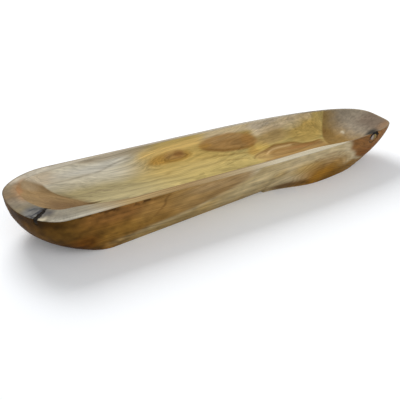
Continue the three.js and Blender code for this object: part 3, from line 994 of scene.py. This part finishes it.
# %% Figure of the near flank, blunt half
FLANK_STOPS = [
    (-300, (0.075, 0.032, 0.002)),
    (-240, (0.112, 0.055, 0.010)),
    (-200, (0.20, 0.092, 0.018)),
    (-118, (0.27, 0.14, 0.034)),
    (-100, (0.33, 0.195, 0.062)),
    (-20, (0.31, 0.19, 0.075)),
    (4, (0.36, 0.25, 0.125)),
    (22, (0.52, 0.43, 0.28)),
    (45, (0.50, 0.395, 0.225)),
]
RIM_SHADE, HEEL_BLACK, HEEL_RED = (0.03, 0.012, 0.001), (0.045, 0.014, 0.0), (0.13, 0.045, 0.006)
RUST, RUSSET, UMBER = (0.20, 0.09, 0.025), (0.34, 0.19, 0.055), (0.25, 0.135, 0.025)
LIGHT_BROWN, PALE_BROWN = (0.38, 0.235, 0.085), (0.42, 0.28, 0.13)


def flank_patch(colour, share, at, half, turn=0, soft=0.6):
    """Glaze an oval on the near flank, placed along the bowl and by height."""
    glaze(colour, share * near_side * oval(u, w, at, half, turn, soft))


glaze(along(u, FLANK_STOPS), near_side)
flank_patch(RIM_SHADE, 0.85, at=(-266, 61), half=(24, 8), soft=0.7)
flank_patch(RUST, 0.7, at=(-175, 56), half=(42, 12))
flank_patch(RUSSET, 0.7, at=(-128, 42), half=(30, 20), soft=0.5)
flank_patch(LIGHT_BROWN, 0.6, at=(-75, 46), half=(26, 8), turn=8)
flank_patch(PALE_BROWN, 0.7, at=(-45, 57), half=(34, 8))
flank_patch(UMBER, 0.6, at=(-160, 22), half=(60, 16))
glaze(HEEL_BLACK, 0.8 * near_side * fall(u, -235, -190) * fall(w, 16, 38))
flank_patch(HEEL_RED, 0.7, at=(-222, 22), half=(18, 11))
print("flank colours", len(FLANK_STOPS))

# %% [markdown]
# ## Sapwood sweep, crack and chips
# A pale edge of sapwood sweeps up from the foot, with growth lines under it. A fine crack climbs to
# the rim, and the edge under the rim is chipped. The sweep and the crack are drawn as lines, because
# the eye follows them. The chips are noise in a narrow strip.

# %% Sweep, crack and chips
UNDER_SAP, SAP_EDGE, SAP_GROWTH = (0.40, 0.29, 0.12), (0.50, 0.39, 0.21), (0.30, 0.20, 0.075)
CRACK_LOW, CRACK_HIGH, CHIP = (0.13, 0.06, 0.016), (0.09, 0.04, 0.012), (0.05, 0.022, 0.006)
SAP_SWEEP = [(-210, 7), (-150, 13), (-100, 18), (-75, 22), (-50, 31), (-25, 37), (0, 48), (22, 60)]
PAST_SWEEP = [(60, 80), (90, 80)]
SAP_DROPS = (9, 15, 21)
# the crack climbs, so its two paths go by height
CRACK_LOW_PATH = [(14, -170), (25, -147), (32, -135), (40, -122), (50, -114)]
CRACK_HIGH_PATH = [(40, -121), (47, -115), (54, -111), (66, -112)]
CHIP_SIZE = (5, 5, 3)


def flank_line(colour, share, path, width, fade):
    """Glaze a drawn line on the near flank that runs along the bowl."""
    glaze(colour, share * near_side * streak(u, w, path, width, fade))


def climbing_line(colour, share, path, width, fade):
    """Glaze a drawn line on the near flank that climbs from the foot to the rim."""
    glaze(colour, share * near_side * streak(w, u, path, width, fade))


below_sweep = under(u, w, [*SAP_SWEEP, *PAST_SWEEP], soft=4, fade=75)
glaze(UNDER_SAP, 0.8 * near_side * below_sweep)
flank_line(SAP_EDGE, 0.75, SAP_SWEEP, width=3.5, fade=80)
for drop in SAP_DROPS:
    lower_sweep = [(a, b - drop) for a, b in SAP_SWEEP]
    flank_line(SAP_GROWTH, 0.3, lower_sweep, width=1.6, fade=40)
climbing_line(CRACK_LOW, 0.4, CRACK_LOW_PATH, width=1.8, fade=6)
climbing_line(CRACK_HIGH, 0.5, CRACK_HIGH_PATH, width=2.0, fade=6)
chips = ease(noise_on(net, CHIP_SIZE, seed=67), -0.05, 0.3)
glaze(CHIP, 0.8 * near_side * chips * ease(w, 57, 63) * span(u, (-225, -205), (-140, -115)))
print("lines under the sweep", len(SAP_DROPS))

# %% [markdown]
# ## The near flank, from the waist to the bow
# Past the waist the flank swells out through beige sapwood into an orange loop of rings, and the bow
# itself is red heartwood with a sharp, slanting edge. The loop is a set of ovals round one centre,
# as rings show on a bulge, and the red edge is drawn by height.

# %% Figure of the near flank, bow half
BEIGE_GOLD, OCHRE, BEIGE_LIGHT = (0.46, 0.31, 0.11), (0.44, 0.28, 0.075), (0.56, 0.45, 0.25)
LOOP_ORANGE, LOOP_LINE, LOOP_SHADE = (0.31, 0.14, 0.008), (0.20, 0.10, 0.02), (0.12, 0.05, 0.004)
TAWNY, KEEL_SHADE, PALE_EDGE = (0.34, 0.18, 0.025), (0.19, 0.09, 0.008), (0.50, 0.41, 0.26)
BOW_RED, BOW_RED_SHADE = (0.22, 0.092, 0.022), (0.17, 0.062, 0.01)
LOOP_AT, LOOP_HALF = (150, 6), (62, 50)
LOOP_LEVELS, LOOP_LINE_WIDTH = (0.45, 0.6, 0.74, 0.86, 0.97), 0.022
KEEL_PATH = [(110, 6), (150, 12), (200, 20), (240, 36), (262, 52)]
PALE_EDGE_PATH = [(20, 234), (33, 208), (40, 199), (48, 191), (58, 187), (66, 180)]
RED_EDGE_PATH = [(0, 270), (20, 240), (32, 212), (45, 197), (60, 194), (66, 188)]
flank_patch(BEIGE_GOLD, 0.6, at=(63, 42), half=(12, 7))
flank_patch(OCHRE, 0.7, at=(112, 39), half=(27, 11))
flank_patch(BEIGE_LIGHT, 0.7, at=(10, 33), half=(46, 15), turn=22)
flank_patch(TAWNY, 0.5, at=(174, 26), half=(20, 12))
loops = loops_round(LOOP_AT, LOOP_HALF)
glaze(LOOP_ORANGE, 0.95 * near_side * fall(loops, 0.35, 1.05))
for level in LOOP_LEVELS:
    glaze(LOOP_LINE, 0.45 * near_side * hill(loops - level, LOOP_LINE_WIDTH))
flank_patch(LOOP_SHADE, 0.85, at=(90, 8), half=(34, 8), soft=0.5)
# painted shade on the lower flank towards the bow, where it curves under
glaze(KEEL_SHADE, 0.85 * near_side * ease(u, 120, 170) * fall(w - drawn(u, KEEL_PATH), -3, 8))
climbing_line(PALE_EDGE, 0.8, PALE_EDGE_PATH, width=7, fade=4)
past_red_edge = u - drawn(w, RED_EDGE_PATH)
glaze(BOW_RED, 0.95 * near_side * ease(past_red_edge, -4, 9))
# painted shade on the red bow low down, where it curves under
glaze(BOW_RED_SHADE, 0.7 * near_side * ease(past_red_edge, 2, 16) * fall(w, 34, 50))
print("loops", len(LOOP_LEVELS))

# %% [markdown]
# ## Clouds and specks
# Oil sinks in unevenly, so both flanks are cloudy, most of all the dark blunt end. A patch could be
# drawn for each cloud. Noise of two sizes does it for the whole outside at once, and shading keeps
# the colours that are there.

# %% Clouds and specks
CLOUD_SIZE, SPECK_SIZE, SPECK_SHARE = (26, 12, 12), (9, 7, 5), 0.9
BLUNT_CLOUDS, BOW_CLOUDS = 0.7, 0.27
clouds = noise_on(net, CLOUD_SIZE, seed=49)
specks = noise_on(net, SPECK_SIZE, seed=55)
cloudiness = mix(BLUNT_CLOUDS, BOW_CLOUDS, ease(x, -190, -120))
shade(outside * cloudiness * (clouds + SPECK_SHARE * specks))
print("glazed points", tone.shape[0] * tone.shape[1])

# %% [markdown]
# ## Growth rings
# Each ring is a layer round the log's heart, so a carved surface shows the layers as lines: close
# together on steep walls, and as wide loops where the cut runs along a layer. The distance from the
# heart, bent round the islands of heartwood, is kept as one more attribute, and the material draws
# its lines along it. A third attribute tells where the cut crosses the fibres.

# %% Ring field
HEART_Z = HEIGHT + 16
HEART_SWAY, HEART_SWAY_LENGTH = 5, 140
RING_DRIFT, RING_DRIFT_SIZE = 5, (230, 38, 38)
RING_WIDTH = 3.1
# centre and half sizes of each bulge in the layers, seen from above, and its height
TOP_BULGES = [
    ((44, 48.5), (70, 14), 3),
    ((-55, 49), (42, 11), 6),
    ((130, 15), (80, 18), 5),
    ((185, 30), (70, 15), -3),
]
FLANK_BULGE_AT, FLANK_BULGE_HALF, FLANK_BULGE = (150, 8), (55, 32), 10


def bulge(a, b, at, half):
    """A rounded bulge of height 1."""
    return hill(a - at[0], half[0]) * hill(b - at[1], half[1])


def point_attribute(made, name, values):
    kind = "FLOAT_COLOR" if values.ndim == 3 else "FLOAT"
    layer = made.data.attributes.new(name, kind, "POINT")
    if kind == "FLOAT":
        layer.data.foreach_set("value", values.ravel())
    else:
        rgba = np.concatenate([values, np.ones((*values.shape[:2], 1))], -1)
        layer.data.foreach_set("color", rgba.ravel())


ring_field = np.hypot(y - HEART_SWAY * np.sin(x / HEART_SWAY_LENGTH), z - HEART_Z)
ring_field += RING_DRIFT * noise_on(net, RING_DRIFT_SIZE, seed=41)
for at, half, height in TOP_BULGES:
    ring_field -= height * bulge(x, y, at, half) * on_top
ring_field += FLANK_BULGE * bulge(x, z, FLANK_BULGE_AT, FLANK_BULGE_HALF) * near_side
blunt_flank = outside * fall(x, -255, -185)
quiet_island = oval(u, y, ISLAND_AT, half=(46, 10)) * in_hollow
end_grain = np.clip(in_scoop + on_ramp + 0.8 * blunt_flank + 0.3 * quiet_island, 0, 1)
point_attribute(bowl, "tone", tone)
point_attribute(bowl, "ring_field", ring_field)
point_attribute(bowl, "end_grain", end_grain)
print("rings", round((ring_field.max() - ring_field.min()) / RING_WIDTH))

# %% [markdown]
# ## More tools for finishes
# Wood and bark both need noise, a place on the piece, a value carried by the mesh, and a bump. The
# place is the object's own, in metres, so that grain stays on the wood when the bowl is moved.

# %% Grain tools
BUMP_DEPTH = 0.0004


def attribute_node(tree, name, output):
    return add_node(tree, "ShaderNodeAttribute", attribute_name=name).outputs[output]


def noise_node(tree, vector, scale, detail, distortion=0.0):
    node = add_node(tree, "ShaderNodeTexNoise")
    for name, value in (("Scale", scale), ("Detail", detail), ("Distortion", distortion)):
        node.inputs[name].default_value = value
    tree.links.new(vector, node.inputs["Vector"])
    return node.outputs[0]


def object_place(tree):
    """The place on the piece, whole and as three numbers."""
    place = add_node(tree, "ShaderNodeTexCoord").outputs["Object"]
    split = add_node(tree, "ShaderNodeSeparateXYZ")
    tree.links.new(place, split.inputs[0])
    return place, split.outputs


def add_bump(tree, shader, height, strength):
    bump = add_node(tree, "ShaderNodeBump")
    bump.inputs["Strength"].default_value = strength
    bump.inputs["Distance"].default_value = BUMP_DEPTH
    tree.links.new(height, bump.inputs["Height"])
    tree.links.new(bump.outputs["Normal"], shader.inputs["Normal"])


print("attributes", [layer.name for layer in bowl.data.attributes if not layer.is_internal])

# %% [markdown]
# ## The oiled wood
# Up close the glaze needs fibres, ring lines and pores. Noise that is stretched along the grain and
# follows the ring field gives fibres that bend round the islands, and on the two scooped ends, where
# the cut crosses the grain, a finer mottle takes their place. Oil leaves a satin finish, with small
# changes from fibre to fibre. An image of wood would be simpler, but it would show seams.

# %% Wood material
ALONG_GRAIN, ACROSS_GRAIN, UP_GRAIN, RINGS_IN_GRAIN = 6, 70, 60, 0.6
STREAK_LIGHT, FIBRE_LIGHT, MOTTLE_LIGHT = (0.89, 1.16), (-0.21, 0.21), (0.84, 1.14)
NOISE_MIDDLE = (0.3, 0.7)
RING_WOBBLE, LATE_SHARPNESS, LATE_DARKNESS = 0.7, 5, 0.21
SATIN, WOOD_GLOSS, WOOD_BUMP = (0.46, 0.6), 0.04, 0.25


def grain_place(tree, axes, rings):
    """A place that changes slowly along the bowl, fast across it, and with the rings."""
    across = math_node(tree, "MULTIPLY", axes["Y"], ACROSS_GRAIN)
    height = math_node(tree, "MULTIPLY", axes["Z"], UP_GRAIN)
    grain = add_node(tree, "ShaderNodeCombineXYZ")
    tree.links.new(math_node(tree, "MULTIPLY", axes["X"], ALONG_GRAIN), grain.inputs["X"])
    tree.links.new(math_node(tree, "MULTIPLY", rings, RINGS_IN_GRAIN), grain.inputs["Y"])
    tree.links.new(math_node(tree, "ADD", across, height), grain.inputs["Z"])
    return grain.outputs[0]


def late_wood(tree, rings, wobble):
    """How dark a ring's outer edge is: a slow climb through each ring, sharpened at its end."""
    ring = math_node(tree, "MULTIPLY", rings, 1 / RING_WIDTH)
    phase = math_node(tree, "ADD", ring, math_node(tree, "MULTIPLY", wobble, RING_WOBBLE))
    late = math_node(tree, "POWER", math_node(tree, "FRACT", phase, 0), LATE_SHARPNESS)
    return math_node(tree, "MULTIPLY", late, LATE_DARKNESS)


def oiled_wood():
    wood, tree, shader = new_finish("oiled_wood")
    place, axes = object_place(tree)
    rings = attribute_node(tree, "ring_field", "Fac")
    grain = grain_place(tree, axes, rings)
    streaks = noise_node(tree, grain, scale=1.0, detail=4)
    fibres = noise_node(tree, grain, scale=4.5, detail=3)
    wobble = noise_node(tree, grain, scale=0.35, detail=2)
    mottle = noise_node(tree, place, scale=75, detail=5, distortion=2.2)
    streaks = range_node(tree, streaks, *NOISE_MIDDLE, *STREAK_LIGHT)
    side = math_node(tree, "ADD", streaks, range_node(tree, fibres, *NOISE_MIDDLE, *FIBRE_LIGHT))
    side = math_node(tree, "SUBTRACT", side, late_wood(tree, rings, wobble))
    blend = add_node(tree, "ShaderNodeMix")
    tree.links.new(attribute_node(tree, "end_grain", "Fac"), blend.inputs["Factor"])
    tree.links.new(side, blend.inputs["A"])
    tree.links.new(range_node(tree, mottle, *NOISE_MIDDLE, *MOTTLE_LIGHT), blend.inputs["B"])
    depth = add_node(tree, "ShaderNodeMix", data_type="RGBA", blend_type="MULTIPLY")
    depth.inputs["Factor"].default_value = 1
    tree.links.new(attribute_node(tree, "tone", "Color"), depth.inputs["A"])
    tree.links.new(blend.outputs["Result"], depth.inputs["B"])
    tree.links.new(depth.outputs["Result"], shader.inputs["Base Color"])
    tree.links.new(range_node(tree, fibres, *NOISE_MIDDLE, *SATIN), shader.inputs["Roughness"])
    shader.inputs["Specular IOR Level"].default_value = WOOD_GLOSS
    add_bump(tree, shader, blend.outputs["Result"], WOOD_BUMP)
    return wood


bowl.data.materials.append(oiled_wood())
print("wood nodes", len(bowl.data.materials[0].node_tree.nodes))

# %% [markdown]
# ## Bark seam and dead knot: their cutters
# Where the log had grown round a strip of bark and round a dead branch, loose bodies sit in the
# wood. The seam is a thin ragged blade across the rim, and the branch a tapered plug with a ring of
# bark. They could be modelled one by one. A cutter for each is simpler, since the same outline, a
# little larger, also cuts the socket.

# %% Cutters
SEAM_X, SEAM_WIDTH, SEAM_DEPTH, SEAM_RUN_IN = BLUNT_X + 26, 4.6, 7, 5
SEAM_STEPS, SEAM_RAGGED = 30, (0.1, 1.35)
SEAM_SWAY, SEAM_WAVES = 1.1, 5
SEAM_TAPER, SEAM_TAPER_FROM, SEAM_OUTSIDE = 0.8, 0.85, 0.5
KNOT_X, KNOT_BELOW_RIM, KNOT_RADIUS, KNOT_STRETCH, KNOT_DEPTH = BOW_X - 54, 8, 5.5, 1.35, 12
KNOT_SIDES, KNOT_RAGGED = 64, 0.07
BARK_THICKNESS, CLEARANCE, OVERCUT = 3, 0.3, 12
UP = Vector((0, 0, 1))


def rim_frame(station):
    """A place on the near rim's outer edge, and a frame there: X along the rim, Y inwards, Z up."""
    near = rim[HALF_COLUMNS:]
    k = int(np.argmax(near[:, 0] > station))
    place = mix(near[k - 1], near[k], (station - near[k - 1, 0]) / (near[k, 0] - near[k - 1, 0]))
    along_rim = Vector((*(near[k] - near[k - 1]), 0)).normalized()
    axes = Matrix((along_rim, UP.cross(along_rim), UP)).transposed().to_4x4()
    return place, Matrix.Translation((*place, HEIGHT)) @ axes


def solid_between(name, lower, upper, matrix):
    """A closed solid between two outlines with as many points, given in a frame."""
    count = len(lower)
    points = np.array([matrix @ Vector(point) for point in [*lower, *upper]])
    faces = [[i, (i + 1) % count, count + (i + 1) % count, count + i] for i in range(count)]
    faces = [*faces, list(range(count))[::-1], list(range(count, 2 * count))]
    made = mesh_object(name, points, faces)
    made.data.materials.append(bowl.data.materials[0])
    return made


def seam_cutter(name, grow):
    """A ragged blade across the rim, from outside the wall to just past the land."""
    place, matrix = rim_frame(SEAM_X)
    reach = land_width(*place) + SEAM_RUN_IN
    inwards = np.linspace(-SEAM_OUTSIDE, 1, SEAM_STEPS)
    halves = np.random.default_rng(51).uniform(*SEAM_RAGGED, (2, SEAM_STEPS)) * SEAM_WIDTH / 2
    halves = halves * (1 - SEAM_TAPER * ease(inwards, SEAM_TAPER_FROM, 1)) + grow
    sway = SEAM_SWAY * smooth_noise(inwards * SEAM_WAVES, inwards * 0, inwards * 0, seed=63)
    right = np.stack([sway + halves[0], reach * inwards], -1)
    left = np.stack([sway - halves[1], reach * inwards], -1)
    outline = np.concatenate([right, [[sway[-1], reach + grow]], left[::-1]])
    lower = [(*point, -SEAM_DEPTH - grow) for point in outline]
    upper = [(*point, OVERCUT) for point in outline]
    return solid_between(name, lower, upper, matrix)


def knot_cutter(name, radius, depth):
    """A tapered oval plug on the dead branch's axis, from outside the wall inwards."""
    _, matrix = rim_frame(KNOT_X)
    turns = np.linspace(0, 2 * math.pi, KNOT_SIDES, endpoint=False)
    # one turn is one round of the noise's lattice, so that the outline closes
    round_lattice = turns / (2 * math.pi) * LATTICE
    ragged = 1 + KNOT_RAGGED * smooth_noise(round_lattice, turns * 0, turns * 0, seed=71)
    ring = np.stack([np.cos(turns) * KNOT_STRETCH * ragged, np.sin(turns) * ragged], -1)
    inner = radius - depth / KNOT_DEPTH
    front = [(a * radius, -OVERCUT, b * radius - KNOT_BELOW_RIM) for a, b in ring]
    back = [(a * inner, depth, b * inner - KNOT_BELOW_RIM) for a, b in ring]
    return solid_between(name, back, front, matrix)


bark_radius = KNOT_RADIUS + CLEARANCE + BARK_THICKNESS
cutters = {
    "seam": seam_cutter("seam_cutter", 0),
    "slit": seam_cutter("slit_cutter", CLEARANCE),
    "core": knot_cutter("core_cutter", KNOT_RADIUS, KNOT_DEPTH),
    "bore": knot_cutter("bore_cutter", KNOT_RADIUS + CLEARANCE, KNOT_DEPTH + OVERCUT),
    "bark": knot_cutter("bark_cutter", bark_radius, KNOT_DEPTH),
    "socket": knot_cutter("socket_cutter", bark_radius + CLEARANCE, KNOT_DEPTH + CLEARANCE),
}
print("cutters", list(cutters))

# %% [markdown]
# ## Cutting the loose bodies and their sockets
# Each socket is cut out of the bowl with a boolean, and the loose body is what its cutter shares
# with the uncut bowl. So its face runs on from the wood round it, and a hair of a gap stays between.
# The modifiers are settled into the meshes, since the cutters are not kept.

# %% Cut
CRACK = (0.02, 0.014, 0.008)
BARE = 0.99


def settled(made):
    """Put what a piece's modifiers make of it into its mesh."""
    shown = made.evaluated_get(bpy.context.evaluated_depsgraph_get())
    mesh = bpy.data.meshes.new_from_object(shown)
    made.modifiers.clear()
    made.data = mesh


def cut(made, cutter, operation):
    tool = made.modifiers.new("cut", "BOOLEAN")
    tool.operation = operation
    tool.solver = "EXACT"
    tool.object = cutters[cutter]
    settled(made)


def darken_cuts(made):
    """Points that a boolean adds come out white, and a crack in wood is dark."""
    layer = made.data.attributes["tone"].data
    rgba = np.zeros(len(layer) * 4)
    layer.foreach_get("color", rgba)
    rgba = rgba.reshape(-1, 4)
    rgba[rgba[:, :3].min(1) > BARE] = (*CRACK, 1)
    layer.foreach_set("color", rgba.ravel())


def uncut_copy(name):
    made = bpy.data.objects.new(name, uncut_mesh.copy())
    made.data.name = name
    made.data.materials.clear()
    scene.collection.objects.link(made)
    return made


uncut_mesh = bowl.data.copy()
seam, knot, knot_bark = [uncut_copy(name) for name in ("bark_seam", "dead_knot", "knot_bark")]
cut(seam, "seam", "INTERSECT")
cut(knot, "core", "INTERSECT")
cut(knot_bark, "bark", "INTERSECT")
cut(knot_bark, "bore", "DIFFERENCE")
cut(bowl, "slit", "DIFFERENCE")
cut(bowl, "socket", "DIFFERENCE")
darken_cuts(bowl)
for cutter in cutters.values():
    bpy.data.objects.remove(cutter)
print("loose pieces", [(o.name, len(o.data.polygons)) for o in (seam, knot, knot_bark)])

# %% [markdown]
# ## Rough bark
# Bark that has been cut through is crumbly: pitted, and sunk a little below the sanded wood. A bump
# would leave its outline smooth. A voxel remesh gives each loose piece an even skin instead, and
# noise then moves the skin inwards only, so that no piece grows out of its socket.

# %% Roughen the loose pieces
SKIN = 0.45
PIT_BASE, PIT_LIMITS = 0.35, (0.1, 1.2)


def point_values(data, name):
    """What each point's vector of that name is, as rows of three."""
    values = np.zeros(len(data) * 3)
    data.foreach_get(name, values)
    return values.reshape(-1, 3)


def roughen(made, depth, size, seed):
    """Give a piece an even skin and pit it, never outwards."""
    remesh = made.modifiers.new("skin", "REMESH")
    remesh.mode = "VOXEL"
    remesh.voxel_size = SKIN * MM
    settled(made)
    mesh = made.data
    points = point_values(mesh.vertices, "co")
    pits = np.clip(PIT_BASE + noise_on(points / MM, (size, size, size), seed), *PIT_LIMITS)
    points = points - point_values(mesh.vertex_normals, "vector") * (depth * MM * pits)[:, None]
    mesh.vertices.foreach_set("co", points.ravel())
    mesh.polygons.foreach_set("use_smooth", [True] * len(mesh.polygons))
    mesh.update()


roughen(seam, depth=0.7, size=1.8, seed=81)
roughen(knot, depth=0.35, size=2.2, seed=87)
roughen(knot_bark, depth=0.6, size=1.8, seed=93)
print("rough pieces", [(o.name, len(o.data.vertices)) for o in (seam, knot, knot_bark)])

# %% [markdown]
# ## Bark and knot finishes
# Bark is nearly black and dry, with brown crumbs in it. The dead branch's core has bleached to a
# pale grey on one side and kept an olive, oily heart on the other. Both are dull. One kind of finish
# serves for all three: noise picks from a row of colours, and a pull along one axis favours the
# first colours on one side and the last on the other.

# %% Bark and knot materials
SOOT = (0.012, 0.010, 0.009)
SEAM_STOPS = [(0.3, SOOT), (0.45, (0.03, 0.025, 0.02)), (0.6, (0.06, 0.032, 0.01))]
RING_STOPS = [(0.3, (0.24, 0.115, 0.04)), (0.5, (0.11, 0.05, 0.017)), (0.7, SOOT)]
CORE_STOPS = [
    (0.2, (0.37, 0.31, 0.275)),
    (0.4, (0.30, 0.235, 0.18)),
    (0.55, (0.16, 0.11, 0.04)),
    (0.78, (0.27, 0.20, 0.06)),
]
BARK_CRUMBS, BARK_ROUGHNESS = 420, 0.85
CORE_CRUMBS, CORE_ROUGHNESS = 300, 0.6
SEAM_SHADE, RING_LIMITS, CORE_HALF = 12, (51, 62), 6
DULL_GLOSS, CRUMB_BUMP = 0.1, 0.5


def speckled(name, colours, scale, roughness, axis, pull, limits):
    """A dull finish that wanders between colours, pulled from first to last between two limits."""
    finish, tree, shader = new_finish(name)
    place, axes = object_place(tree)
    crumbs = noise_node(tree, place, scale, detail=5, distortion=0.6)
    pulled = range_node(tree, axes[axis], limits[0] * MM, limits[1] * MM, 0, pull)
    share = math_node(tree, "ADD", math_node(tree, "MULTIPLY", crumbs, 1 - pull), pulled)
    ramp = add_node(tree, "ShaderNodeValToRGB")
    stops = ramp.color_ramp.elements
    while len(stops) < len(colours):
        stops.new(0.5)
    for stop_on_ramp, (position, colour) in zip(stops, colours):
        stop_on_ramp.position = position
        stop_on_ramp.color = (*colour, 1)
    tree.links.new(share, ramp.inputs["Fac"])
    tree.links.new(ramp.outputs["Color"], shader.inputs["Base Color"])
    shader.inputs["Roughness"].default_value = roughness
    shader.inputs["Specular IOR Level"].default_value = DULL_GLOSS
    add_bump(tree, shader, crumbs, CRUMB_BUMP)
    return finish


seam_limits = (HEIGHT, HEIGHT - SEAM_SHADE)
core_limits = (KNOT_X - CORE_HALF, KNOT_X + CORE_HALF)
finishes = {
    seam: speckled("seam_bark", SEAM_STOPS, BARK_CRUMBS, BARK_ROUGHNESS, "Z", 0.45, seam_limits),
    knot_bark: speckled("ring_bark", RING_STOPS, BARK_CRUMBS, BARK_ROUGHNESS, "Z", 0.75, RING_LIMITS),
    knot: speckled("bleached_knot", CORE_STOPS, CORE_CRUMBS, CORE_ROUGHNESS, "X", 0.75, core_limits),
}
for made, finish in finishes.items():
    made.data.materials.clear()
    made.data.materials.append(finish)
print("finishes", [m.name for m in bpy.data.materials if m.users])

# %% [markdown]
# ## Each piece takes its place
# On the real bowl the wood holds the bark and the branch by their shape alone, and nothing moves. So
# the four pieces ride on the bowl's one body and stand for the four construction pieces.

# %% Hand the pieces over
stands_for = {
    "bowl_body": (bowl, "oiled_wood"),
    "rim_bark_seam": (seam, "bark"),
    "tip_knot": (knot, "knot_wood"),
    "tip_knot_bark": (knot_bark, "bark"),
}
for node, (made, finish) in stands_for.items():
    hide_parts(node)
    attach(made, "root")
print("pieces", {node: made.name for node, (made, _) in stands_for.items()})
